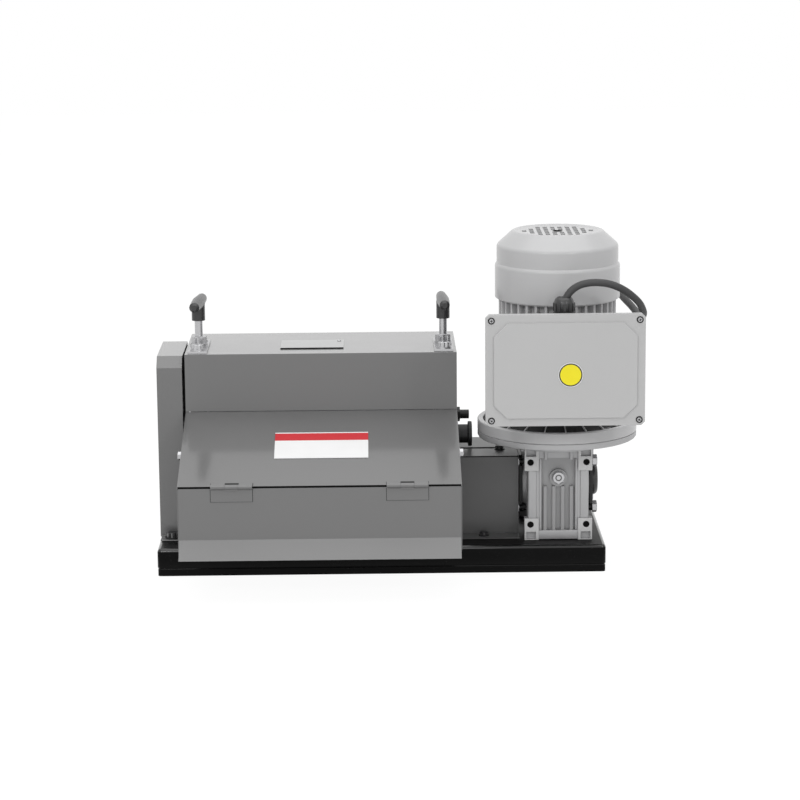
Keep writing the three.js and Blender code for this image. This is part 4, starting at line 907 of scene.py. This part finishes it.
# %% Casting with pockets
REDUCER = Vector((0.2224, -0.042, 0.0953))
REDUCER_REACH = 0.084
PAD_X, PAD_HALF, POCKET_X, POCKET_HALF = 0.0335, 0.0088, 0.0343, 0.006
HOLE_X, HOLE_Z, HOLE_RADIUS = 0.035, 0.04, 0.0042
POCKET_DEPTH, PAD_BEVEL, PAD_SKIN = 0.0055, 0.0004, (-0.0003, 0.0006)
PAD_ROWS = {"low": (-1, (-0.0598, -0.0322), (-0.0585, -0.0495)),
            "high": (1, (0.0292, 0.0568), (0.0475, 0.057))}
WAYS = {"left": -1, "right": 1}


def at_reducer(x, z, y=0.0):
    return REDUCER + Vector((x, y - REDUCER_REACH, z))


def reducer_box(x, half, heights, near, far):
    return at_reducer(x - half, heights[0], near), at_reducer(x + half, heights[1], far)


pockets = [reducer_box(way * POCKET_X, POCKET_HALF, pocket, -0.002, POCKET_DEPTH)
           for way in WAYS.values() for _, _, pocket in PAD_ROWS.values()]
rounded("reducer_housing", 0.0009, placed("pocket_cutters", joined_mesh("pockets", pockets)))
print(len(pockets), "pockets cut")

# %% [markdown]
# ## Machined pads
# The faces of the foot blocks are machined flat and brighter than the casting, and each has
# a deep bolt hole. A colour set by place would fade over the rounded edge, so each face is a
# thin skin with the block's two openings. A dark disc near the bottom of each hole is painted
# shade.

# %% Machined pads and their holes
for side, way in WAYS.items():
    for row, (lift, pad, pocket) in PAD_ROWS.items():
        name, hole_at = f"{side}_{row}", at_reducer(way * HOLE_X, lift * HOLE_Z)
        drill = turned_mesh("drill", tube(0, HOLE_RADIUS, -0.004, 0.004), hole_at, "y", sides=40)
        room = reducer_box(way * POCKET_X, POCKET_HALF, pocket, -0.003, 0.004)
        skin = joined_mesh(name, [reducer_box(way * PAD_X, PAD_HALF, pad, *PAD_SKIN)])
        skin = bevelled(skin, name + "_pad", PAD_BEVEL,
                        placed("pad_cutters", joined_mesh("pad_cutters", [room], drill)))
        new_piece(name + "_pad", skin, "machined_pad")
        # painted shade: a dark disc inside each bolt hole
        turned(name + "_hole", tube(0, HOLE_RADIUS - 0.00002, 0.0012, 0.006), hole_at,
               "painted_deep_shade", slot="cast_alloy", axis="y", sides=32)
print("pads ready")

# %% [markdown]
# ## Reducer bolts
# The black side covers have four hex heads each, tall on the right and low on the left. A
# second tree would only repeat the first, so the bolt tree makes them, with hardly any washer.

# %% Bolts of the reducer
COVER_FACE, COVER_BOLT = 0.0468, 0.030
for side, towards, height in (("right", "+x", 0.0058), ("left", "-x", 0.0021)):
    corners = [REDUCER + Vector((WAYS[side] * COVER_FACE, y, z))
               for y in (-COVER_BOLT, COVER_BOLT) for z in (-COVER_BOLT, COVER_BOLT)]
    bolts(side + "_cover_bolts", corners, towards, 0.0078, height, 0.0079, 0.0002)
print("reducer bolts stand")

# %% [markdown]
# ## Dark gaps
# A dark line of painted shade runs along the slope's front edge above the flap, where the flap
# meets the slope, and the hinges break it. Other lines of painted shade lie under the name plate,
# in the seam of the coupling's cover and under its fold. A gap in the sheet would show what is
# behind it, so each line is a thin dark strip.

# %% Dark strips
HINGES = [(-0.2045, -0.1545), (0.0063, 0.0563)]
GAP_Y, GAP_Z, GAP_ROOM = (-0.2724, -0.2708), (0.1398, 0.1429), 0.001
SEAM_Y, SEAM_END = (-0.0476, -0.0432), 0.1470
FOLD_Y, FOLD_ROOM = (-0.09214, -0.0915), 0.0003


def painted_shade_strip(name, across, along, upwards):
    corners = zip(across, along, upwards)
    new_piece(name, joined_mesh(name, [tuple(corners)]), "painted_deep_shade")


# painted shade: thin dark strips in the gaps, in the seam and under the edges
guard_low, guard_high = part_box("front_guard")
breaks = [guard_low.x + GAP_ROOM, *HINGES[0], *HINGES[1], guard_high.x - GAP_ROOM]
for i, across in enumerate(zip(breaks[::2], breaks[1::2])):
    painted_shade_strip(f"guard_gap_{i}", across, GAP_Y, GAP_Z)
plate_low, plate_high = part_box("cover_plate")
painted_shade_strip("plate_edge", (plate_low.x, plate_high.x),
           (plate_low.y - 0.0006, plate_low.y + 0.0002),
           (plate_low.z - TENTH_MM, plate_high.z - TENTH_MM))
cover_low, cover_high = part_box("coupling_cover_rear")
seam_start, fold_end, top = cover_low.x + FOLD_ROOM, cover_high.x - FOLD_ROOM, cover_high.z
painted_shade_strip("cover_seam", (seam_start, SEAM_END), SEAM_Y, (top - 0.0002, top + 0.0005))
painted_shade_strip("cover_fold", (seam_start, fold_end), FOLD_Y, (top - 0.0017, top - 0.0006))
print("dark strips ready")

# %% [markdown]
# ## Hinge leaves and rivet
# The leaves of the hinges are painted over, so only a fine line of shade shows round them. A
# drawn line would slide on a bent sheet, so a dark prism a little larger than each leaf lies
# under it; its rim is painted shade. A rivet holds the name plate at its rear corner.

# %% Lines round the leaves
FLAP_FACE, LEAF_HALF, SLOPE_FALL = -0.2733, 0.0256, 55.6 / 183
SLOPE_FRONT, SLOPE_RISE = FLAP_FACE + 0.0023, 0.1411
lower_leaf = [(FLAP_FACE + y, z) for y, z in (
    (-0.00025, 0.1243), (0.0006, 0.1243), (0.0006, 0.1400), (-0.00025, 0.1400))]
upper_leaf = [(SLOPE_FRONT + y, SLOPE_RISE + y * SLOPE_FALL + lift) for y, lift in (
    (0.001, -0.0004), (0.0106, -0.0004), (0.0106, 0.0003), (0.001, 0.0003))]


# painted shade: a dark rim round each hinge leaf
def leaf_shade_line(name, corners, middle_x, body):
    rings = [[(middle_x + way * LEAF_HALF, y, z) for y, z in corners] for way in (-1, 1)]
    new_piece(name, skinned(name, rings), "painted_soft_shade", body)


for i, (start, stop) in enumerate(HINGES):
    leaf_shade_line(f"lower_leaf_line_{i}", lower_leaf, (start + stop) / 2, "flap")
    leaf_shade_line(f"upper_leaf_line_{i}", upper_leaf, (start + stop) / 2, "frame")
turned("plate_rivet", [(0, 0.0002), (0.0026, 0.0002), (0.0024, 0.0010), (0.0012, 0.0016),
                       (0, 0.0017)],
       Vector((plate_high.x - 0.006, plate_high.y - 0.008, plate_high.z)), "zinc", sides=24)
print("leaf lines ready")

# %% [markdown]
# ## Rings of bars
# The motor's fins, the flange's ribs and the fan's blades are all flat bars that stand
# round an axis. An Array modifier with an empty could turn them; one tree does it without a
# helper object: a bar at each point of a line with no length, turned by its own number.

# %% The ring tree
BAR_BEVEL = 0.0004


def build_ring_tree():
    group, tree, given = new_growth(
        "ring_of_bars", Count=WHOLE, Inner_Radius=FLOAT, Outer_Radius=FLOAT, Width=FLOAT,
        Low=FLOAT, High=FLOAT, Half_Steps=FLOAT, Tilt=FLOAT, Material=MATERIAL)
    inner, outer = given["Inner Radius"], given["Outer Radius"]
    low, high = given["Low"], given["High"]
    bar = moved(tree, block(tree, outer - inner, given["Width"], high - low),
                tree.vector((inner + outer) * 0.5, 0.0, (low + high) * 0.5),
                tree.vector(y=given["Tilt"]))
    line = tree.make("GeometryNodeMeshLine", {"Count": given["Count"], "Offset": (0.0, 0.0, 0.0)})
    number = tree.make("GeometryNodeInputIndex")
    turn = (number + given["Half Steps"] * 0.5) * (2 * math.pi) / given["Count"]
    end_growth(tree, stood(tree, line, bar, tree.vector(z=turn)), given["Material"])
    return group


RING_TREE = build_ring_tree()


def ring_mesh(name, finish_name, count, inner, outer, width, low, high, half_steps=0.0, tilt=0.0):
    return grown(RING_TREE, name, {
        "Count": count, "Inner Radius": inner, "Outer Radius": outer, "Width": width,
        "Low": low, "High": high, "Half Steps": half_steps, "Tilt": tilt,
        "Material": FINISHES[finish_name]})


def ring_of_bars(name, finish_name, *sizes, centre, body="frame", **turns):
    mesh = ring_mesh(name, finish_name, *sizes, **turns)
    mesh.transform(Matrix.Translation(centre))
    draft = placed(name + "_draft", mesh)
    add_bevel(draft, BAR_BEVEL)
    result = settled(draft, name)
    shade(result, 40)
    new_piece(name, result, finish_name, body)


print("ring tree ready")

# %% [markdown]
# ## Motor
# The motor stands on the reducer's flange: a deep flange with radial ribs over a cone, a finned
# housing, and a spun cowl with slots in its top. The cone's dark colour is painted shade of the
# flange's hollow. One turned profile with rings of bars on it is closer to the real casting than
# a sculpted surface would be. Heights are counted from the underside of the motor's flange.

# %% Flange, housing and fins
MOTOR = Vector((REDUCER.x, -0.092, 0.1721))
FLANGE_BOLT_CIRCLE = 0.0825

turned("flange_body", [
    (0.0175, 0), (0.0992, 0), (0.1, 0.0008), (0.1, 0.0130), (0.0992, 0.014), (0.0936, 0.014),
    (0.093, 0.0134), (0.093, 0.004), (0.062, 0.004), (0.062, 0.036), (0.0175, 0.036)],
    MOTOR, "motor_paint", stands_for="motor_flange")
# painted shade: the cone inside the flange is darker than the motor's paint
turned("flange_cone", [
    (0.0618, 0.0038), (0.0929, 0.0038), (0.0929, 0.0060), (0.0640, 0.0200), (0.0618, 0.0205)],
    MOTOR, "painted_soft_shade", slot="motor_paint")
ring_of_bars("flange_ribs", "motor_paint", 20, 0.0624, 0.0942, 0.0015, 0.0127, 0.0151,
             centre=MOTOR, half_steps=0.42, tilt=0.457)
flange_turns = [math.radians(a) for a in (45, 135, 225, 315)]
bolts("flange_bolts", [MOTOR + Vector((FLANGE_BOLT_CIRCLE * math.cos(a),
                                       FLANGE_BOLT_CIRCLE * math.sin(a), 0.0066))
                       for a in flange_turns], "+z", 0.0068, 0.0048, 0.0069, 0.0002)
turned("housing_body", [
    (0.052, 0.0363), (0.0632, 0.0363), (0.0634, 0.0367), (0.0634, 0.166), (0.0753, 0.167),
    (0.0754, 0.1755), (0.0748, 0.1762), (0.0096, 0.1762), (0.0096, 0.1668), (0.052, 0.1668)],
    MOTOR, "motor_paint", stands_for="motor_housing")
ring_of_bars("housing_fins", "motor_paint", 36, 0.0625, 0.073, 0.0032, 0.0366, 0.1680,
             centre=MOTOR, half_steps=1.0)
print("motor housing ready")

# %% [markdown]
# ## Pads, ribs and rails
# The control box sits on a pad that is cast on the motor's housing, and the lead enters
# through a smaller boss behind. On the reducer, two short ribs stand above the panel with
# the plug, and flat rails run down each column. All are blocks with soft edges that reach
# into the casting, which looks joined without a union.

# %% Pads of the motor and ribs of the reducer
CAST_BARS = {
    "neck_rib": (0.016, 0.0019, (0.043, 0.0555), -0.0002, 0.012, 0.0008),
    "rail": (0.0325, 0.0052, (-0.0325, 0.0295), 0.0012, 0.02, 0.0012),
    "inner_rail": (0.0225, 0.0014, (-0.0475, 0.044), 0.0018, 0.02, 0.0006),
}


def soft_block(name, low, high, radius, finish_name="cast_alloy"):
    work = bmesh.new()
    work.from_mesh(joined_mesh(name, [(low, high)]))
    bmesh.ops.bevel(work, geom=work.edges[:], offset=radius, segments=3, affect="EDGES",
                    profile=0.5)
    mesh = mesh_of(work, name)
    shade(mesh, 40)
    new_piece(name, mesh, finish_name)


soft_block("box_pad", (MOTOR.x - 0.038, -0.1894, MOTOR.z + 0.048),
           (MOTOR.x + 0.038, -0.144, MOTOR.z + 0.116), 0.002, "motor_paint")
soft_block("lead_pad", (MOTOR.x - 0.0135, -0.034, MOTOR.z + 0.0828),
           (MOTOR.x + 0.0135, -0.0190, MOTOR.z + 0.1098), 0.0015, "motor_paint")
for side, way in WAYS.items():
    for part, (x, half, heights, near, far, radius) in CAST_BARS.items():
        soft_block(f"{side}_{part}", *reducer_box(way * x, half, heights, near, far), radius)
soft_block("foot_bar", *reducer_box(0, 0.0262, (-0.0597, -0.0478), 0.0012, 0.02), 0.0012)
print("pads and ribs ready")

# %% [markdown]
# ## Oil plug
# The plug's head has a turned face with a dull ring sunk into it. A bump would blur so small
# a ring, so each is one profile: the face is a little wider than the hexagon that it stands
# on, and the ring fills its groove.

# %% Face of the oil plug
plug_at = Vector((middle("oil_plug").x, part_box("oil_plug")[0].y, middle("oil_plug").z + 0.001))
turned("oil_plug_face", [
    (0, -0.0003), (0.0026, -0.0003), (0.0028, 0.0006), (0.0040, 0.0006), (0.0042, -0.0003),
    (0.0068, -0.0003), (0.0078, 0.0008), (0.0078, 0.0035), (0, 0.0035)],
    plug_at, "zinc", axis="y", sides=64)
turned("oil_plug_ring", tube(0.0027, 0.0041, -0.0001, 0.0008), plug_at, "dark_grey_paint",
       slot="zinc", axis="y", sides=64)
print("oil plug faced")

# %% [markdown]
# ## Fan cowl
# The cowl is spun sheet: a band, a small step, a shoulder and a shallow dome. Short slots
# stand in rows and columns inside a circle round its hub. An image with holes would leave
# no thickness, so the slots are cut: a tree lays a grid of points, drops those outside the
# circle or on the hub, and stands a cutter on each that is left, and a Boolean modifier
# takes the cutters out of the turned shell.

# %% Slots of the cowl
SHOULDER = 0.2106
DOME = SHOULDER + 0.022
CROWN = DOME + 0.017
COWL_LOW = SHOULDER - 0.042


def build_slot_tree():
    group, tree, given = new_growth(
        "cowl_slots", Columns=WHOLE, Rows=WHOLE, Column_Pitch=FLOAT, Row_Pitch=FLOAT,
        Width=FLOAT, Length=FLOAT, Circle=FLOAT, Hub=FLOAT, Depth=FLOAT, Material=MATERIAL)
    columns, rows = given["Columns"], given["Rows"]
    grid = tree.make("GeometryNodeMeshGrid", {
        "Size X": (columns - 1.0) * given["Column Pitch"],
        "Size Y": (rows - 1.0) * given["Row Pitch"], "Vertices X": columns, "Vertices Y": rows})
    x, y, _ = tree.split(tree.make("GeometryNodeInputPosition"))
    distance = tree.math("SQRT", x * x + y * y)
    dropped = (distance > given["Circle"]) + (distance < given["Hub"])
    kept = tree.make("GeometryNodeDeleteGeometry", {"Geometry": grid, "Selection": dropped},
                     {"domain": "POINT"})
    cutter = block(tree, given["Width"], given["Length"], given["Depth"])
    end_growth(tree, stood(tree, kept, cutter), given["Material"])
    return group


cutters = grown(build_slot_tree(), "slot_cutters", {
    "Columns": 10, "Rows": 5, "Column Pitch": 0.0092, "Row Pitch": 0.015, "Width": 0.0054,
    "Length": 0.0128, "Circle": 0.0425, "Hub": 0.009, "Depth": 0.014,
    "Material": FINISHES["motor_paint"]})
cutters.transform(Matrix.Translation(MOTOR + Vector((0, 0, CROWN))))
print(len(cutters.polygons) // 6, "slot cutters")

# %% [markdown]
# ## Spinning and slotting the cowl
# The profile runs up the outside, over the dished crown and back down the inside, so the
# sheet has its thickness from the start. Small steps at the two shoulders round them, and
# they take the light as spun metal does. A plug closes the hole in the middle; its dark colour
# is painted shade.

# %% Spinning and slotting the cowl
cowl_outside = [
    (0.0776, COWL_LOW), (0.0778, COWL_LOW + 0.0003), (0.0778, SHOULDER - 0.0030),
    (0.0777, SHOULDER - 0.0020), (0.0774, SHOULDER - 0.0010), (0.0769, SHOULDER),
    (0.0763, SHOULDER + 0.0007), (0.0757, SHOULDER + 0.0016), (0.0757, DOME - 0.0015),
    (0.0756, DOME - 0.0003), (0.0753, DOME + 0.0009), (0.07475, DOME + 0.0020),
    (0.0740, DOME + 0.0031), (0.0734, DOME + 0.0037), (0.0580, CROWN + 0.0006),
    (0.0568, CROWN + 0.0016), (0.0550, CROWN + 0.0023), (0.0525, CROWN + 0.0025),
    (0.0495, CROWN + 0.0017), (0.0460, CROWN + 0.0009), (0.0060, CROWN + 0.0006)]
cowl_inside = [
    (0.0060, CROWN - 0.0012), (0.0450, CROWN - 0.0010), (0.0540, CROWN), (0.0700, DOME + 0.0030),
    (0.0738, DOME - 0.002), (0.0738, SHOULDER), (0.0758, SHOULDER - 0.002), (0.0758, COWL_LOW)]
cowl_draft = placed("cowl_draft", turned_mesh("cowl_shell", cowl_outside + cowl_inside, MOTOR))
slot_cutter = placed("slot_cutter", cutters)
add_cut(cowl_draft, slot_cutter)
cowl_mesh = settled(cowl_draft, "fan_cowl_slotted")
bpy.data.objects.remove(slot_cutter)
shade(cowl_mesh, 28)
new_piece("fan_cowl_slotted", cowl_mesh, "motor_paint", stands_for="fan_cowl")
# painted shade: the plug in the cowl's hub is dark
turned("cowl_plug", [
    (0, CROWN + 0.0002), (0.0042, CROWN + 0.0002), (0.0046, CROWN + 0.0012),
    (0.0062, CROWN + 0.0010), (0.0062, CROWN - 0.0009), (0, CROWN - 0.0009)],
    MOTOR, "painted_deep_shade", slot="motor_paint", sides=32)
print(len(cowl_mesh.polygons), "faces of the cowl")

# %% [markdown]
# ## Fan
# The fan shows only through the slots, so plain bars do for its blades. It keeps the CAD's
# places, a hub and eight blades, and rides on the rotor.

# %% Fan
FAN_LOW, FAN_HIGH = 0.181, 0.207
turned("fan_hub", tube(0.0094, 0.015, FAN_LOW, FAN_HIGH), MOTOR, "black_plastic", "rotor_set",
       stands_for="cooling_fan", sides=48)
ring_of_bars("fan_blades", "black_plastic", 8, 0.0138, 0.062, 0.003, FAN_LOW, FAN_HIGH,
             centre=MOTOR, body="rotor_set")
print("fan ready")

# %% [markdown]
# ## Screws of the control box
# Four pan head screws hold the lid, each in a counterbore. A texture of a cross would be flat
# from the side, so the tree stands a small screw on each point: a dark ring, a grey head and two
# dark bars for its cross. The ring and the bars are painted shade of the counterbore and of the
# cross's recess. The CAD's own heads are cut off the rounded lid.

# %% Lid screws
TURN_STEP, FIRST_TURN = 0.8, 0.5


def build_pan_screw_tree():
    group, tree, given = new_growth("pan_screws", Radius=FLOAT, Height=FLOAT, Ring=FLOAT,
                                    Slot=FLOAT, Metal=MATERIAL, Dark=MATERIAL)
    radius, height, slot = given["Radius"], given["Height"], given["Slot"]
    head = dressed(tree, cone(tree, 32, radius, radius * 0.75, height), given["Metal"])
    ring = cylinder(tree, 32, radius + given["Ring"], height * 0.2)
    reach, bar_place = radius * 1.15, tree.vector(z=height * 0.95)
    bars = [moved(tree, block(tree, *size, height * 0.3), bar_place)
            for size in ((reach, slot), (slot, reach))]
    # painted shade: the dark ring and the two cross bars
    dark = dressed(tree, joined(tree, [ring, *bars]), given["Dark"])
    number = tree.make("GeometryNodeInputIndex")
    turn = tree.vector(math.pi / 2, number * TURN_STEP + FIRST_TURN, 0.0)
    end_growth(tree, stood(tree, given["Geometry"], joined(tree, [head, dark]), turn))
    return group


lid_low, lid_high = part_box("control_lid")
LID_INSET, LID_FACE, HEAD_ROOM = 0.007, lid_low.y + 0.0025, 0.0040
lid_corners = [(x, z) for x in (lid_low.x + LID_INSET, lid_high.x - LID_INSET)
               for z in (lid_low.z + LID_INSET, lid_high.z - LID_INSET)]
old_heads = [((x - HEAD_ROOM, lid_low.y - 0.001, z - HEAD_ROOM),
              (x + HEAD_ROOM, LID_FACE - TENTH_MM, z + HEAD_ROOM)) for x, z in lid_corners]
rounded("control_lid", 0.0016, placed("head_cutters", joined_mesh("heads", old_heads)))
screw_mesh = grown(build_pan_screw_tree(), "lid_screws", {
    "Radius": 0.0032, "Height": 0.0018, "Ring": 0.0009, "Slot": 0.0009,
    "Metal": FINISHES["zinc"], "Dark": FINISHES["painted_deep_shade"]},
    [(x, LID_FACE - 0.0004, z) for x, z in lid_corners])
shade(screw_mesh, 30)
new_piece("lid_screws", screw_mesh, None)
print("lid screws ready")

# %% [markdown]
# ## Cable glands
# A gland is a hexagon, a domed nut with grip ribs and a rubber seal round the lead. All
# three are turned, the hexagon with six sides, and the ribs are the ring tree again. That
# gives both glands from one set of sizes.

# %% Glands
GLAND_BORE = 0.0047
GLAND_PARTS = {
    "hex": ("black_plastic", 6, [
        (GLAND_BORE, 0), (0.0134, 0), (0.0134, 0.0058), (0.0124, 0.0065), (GLAND_BORE, 0.0065)]),
    "nut": ("black_plastic", 64, [
        (GLAND_BORE, 0.0068), (0.0120, 0.0068), (0.0124, 0.0074), (0.0124, 0.0160),
        (0.0120, 0.0186), (0.0110, 0.0212), (0.0096, 0.0232), (0.0084, 0.0239),
        (0.0078, 0.0236), (0.0060, 0.0210), (GLAND_BORE, 0.0150)]),
    "seal": ("lead_rubber", 48, [
        (0, 0.0140), (0.0058, 0.0140), (0.0074, 0.0226), (0, 0.0226)]),
}


def gland(side, centre, axis):
    for part, (finish_name, sides, profile) in GLAND_PARTS.items():
        turned(f"{side}_gland_{part}", profile, centre, finish_name,
               stands_for=side + "_gland", axis=axis, sides=sides, smooth=40)
    ribs = ring_mesh(side + "_gland_ribs", "black_plastic", 12, 0.0115, 0.0133, 0.0030, 0.0072,
                     0.0172)
    ribs.transform(Matrix.Translation(centre) @ AXIS_TURNS[axis])
    new_piece(side + "_gland_ribs", ribs, "black_plastic")


box_gland, motor_gland = middle("box_gland"), middle("motor_gland")
gland("box", Vector((*box_gland.xy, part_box("box_gland")[0].z)), "z")
gland("motor", Vector((motor_gland.x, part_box("motor_gland")[0].y, motor_gland.z)), "y")
print("glands ready")

# %% [markdown]
# ## Feed rollers
# Ten channels lie side by side, and the feed roller has a groove in each, wider from left
# to right. Ten grooved rings could be stacked, but one turned profile has no seams.

# %% Rollers
CHANNELS, CHANNEL_PITCH = 10, 0.028
SHAFT_BORE, ROLLER_RADIUS, GROOVE_RADIUS, GROOVE_DIP = 0.0103, 0.029, 0.0255, 0.0005
NARROWEST, WIDENING, FLOOR_SHARE = 0.3, 0.05, 0.12
FEED_AXIS, CUTTER_AXIS = Vector((0, SHAFT_Y, 0.0953)), Vector((0, SHAFT_Y, 0.1553))
rollers_low, rollers_high = [corner.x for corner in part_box("feed_rollers")]
channel_places = [rollers_low + CHANNEL_PITCH * (i + 0.5) for i in range(CHANNELS)]
roller_profile = [(SHAFT_BORE, rollers_low), (ROLLER_RADIUS, rollers_low)]
for i, x in enumerate(channel_places):
    half = CHANNEL_PITCH / 2 * (NARROWEST + WIDENING * i)
    ground = half * FLOOR_SHARE
    roller_profile += [
        (ROLLER_RADIUS, x - half), (GROOVE_RADIUS, x - ground), (GROOVE_RADIUS - GROOVE_DIP, x),
        (GROOVE_RADIUS, x + ground), (ROLLER_RADIUS, x + half)]
roller_profile += [(ROLLER_RADIUS, rollers_high), (SHAFT_BORE, rollers_high)]
turned("grooved_rollers", roller_profile, FEED_AXIS, "steel", "feed", stands_for="feed_rollers",
       axis="x", sides=72, smooth=25)
print(len(channel_places), "grooves turned")

# %% [markdown]
# ## Blades
# A disc blade with two ground flanks runs over the middle of each groove, with a spacer
# tube between the discs. The blades are all alike, so a tree grows them along a line.

# %% Blades


def build_blade_tree():
    group, tree, given = new_growth("row_of_blades", Count=WHOLE, Pitch=FLOAT, Radius=FLOAT,
                                    Thickness=FLOAT, Edge=FLOAT, Material=MATERIAL)
    radius, half = given["Radius"], given["Thickness"] * 0.5
    inner = radius - given["Edge"]
    parts = [cylinder(tree, 64, inner, given["Thickness"]),
             moved(tree, cone(tree, 64, inner, radius, half), tree.vector(z=half * -1.0)),
             cone(tree, 64, radius, inner, half)]
    line = tree.make("GeometryNodeMeshLine", {
        "Count": given["Count"], "Offset": tree.vector(x=given["Pitch"])})
    row = stood(tree, line, joined(tree, parts), (0.0, math.pi / 2, 0.0))
    end_growth(tree, row, given["Material"])
    return group


blade_mesh = grown(build_blade_tree(), "disc_blades", {
    "Count": CHANNELS, "Pitch": CHANNEL_PITCH, "Radius": 0.03, "Thickness": 0.0025,
    "Edge": 0.004, "Material": FINISHES["steel"]})
blade_mesh.transform(Matrix.Translation(CUTTER_AXIS + Vector((channel_places[0], 0, 0))))
shade(blade_mesh, 20)
new_piece("disc_blades", blade_mesh, "steel", "cutter", stands_for="cutter_blades")
turned("blade_spacers", tube(SHAFT_BORE, 0.015, rollers_low, rollers_high), CUTTER_AXIS, "steel",
       "cutter", axis="x", sides=48)
print("blades ready")

# %% [markdown]
# ## Floor and light
# The machine stands on a plain pale floor under soft studio light. More light would wash the
# machine out with the floor. So the floor and the world look white to camera, glossy and
# transmission rays only, and the lamps stay low enough that a colour renders about as it is
# written. The floor keeps a faint shadow.

# %% Floor
FLOOR_HALF, FLOOR_GLOW, SHADOW_SHARE = 6.0, 1.1, 0.14


def seen_directly(tree):
    """1 for the rays that see the background, else 0."""
    rays = tree.outputs(tree.make("ShaderNodeLightPath"))
    return tree.math("MAXIMUM", tree.math("MAXIMUM", rays["Is Camera Ray"],
                                          rays["Is Glossy Ray"]), rays["Is Transmission Ray"])


def floor_finish():
    material, tree, shader, _ = new_finish("studio_floor")
    tree.nodes.remove(shader)
    paper = tree.make("ShaderNodeBsdfDiffuse", {"Color": (*grey(0.8), 1)})
    white = tree.make("ShaderNodeEmission", {"Color": (*grey(1), 1), "Strength": FLOOR_GLOW})
    share = seen_directly(tree) * (1 - SHADOW_SHARE)
    tree.feed(tree.nodes["Material Output"].inputs["Surface"],
              tree.make("ShaderNodeMixShader", {0: share, 1: paper, 2: white}))
    return material


floor_mesh = bpy.data.meshes.new("floor")
floor_mesh.from_pydata([(x * FLOOR_HALF, y * FLOOR_HALF, 0)
                        for x, y in ((-1, -1), (1, -1), (1, 1), (-1, 1))], [], [(0, 1, 2, 3)])
floor_mesh.materials.append(floor_finish())
floor = placed("floor", floor_mesh)
print("floor laid")

# %% [markdown]
# ## World and lamps
# A large lamp overhead and one in front act as soft boxes, and two small ones give the
# rounded edges a highlight. A sky texture would tint the grey paint, so the world is plain.

# %% World and lamps
PLAIN_LIGHT, PAPER_WHITE = 0.5, 1.0
LAMPS = {
    "overhead": ((0.1, -0.3, 2.2), (0, -0.05, 0.15), (3.0, 2.4), 27),
    "front_fill": ((-0.3, -2.6, 1.3), (0, 0, 0.18), (1.6, 1.2), 8),
    "left_small": ((-1.1, -2.4, 1.5), (0.2, 0, 0.35), (0.3, 0.4), 7),
    "right_small": ((1.4, -2.4, 1.5), (0.2, 0, 0.35), (0.3, 0.4), 7),
}


def build_world():
    world = bpy.data.worlds.new("studio")
    world.use_nodes = True
    tree = Tree(world.node_tree)
    plain, white = [tree.make("ShaderNodeBackground", {0: (*grey(1), 1), 1: strength})
                    for strength in (PLAIN_LIGHT, PAPER_WHITE)]
    tree.feed(tree.nodes["World Output"].inputs["Surface"], tree.make(
        "ShaderNodeMixShader", {0: seen_directly(tree), 1: plain, 2: white}))
    bpy.context.scene.world = world


def soft_lamp(name, place, aim, size, watts):
    data = bpy.data.lights.new(name, "AREA")
    data.shape, data.size, data.size_y = "RECTANGLE", size[0], size[1]
    data.energy = watts
    lamp = placed(name, data)
    lamp.location = place
    lamp.rotation_euler = (Vector(aim) - Vector(place)).to_track_quat("-Z", "Y").to_euler()


build_world()
for name, lamp in LAMPS.items():
    soft_lamp(name, *lamp)
bpy.context.scene.view_settings.view_transform = "Standard"
print("studio lit by", len(LAMPS), "lamps")
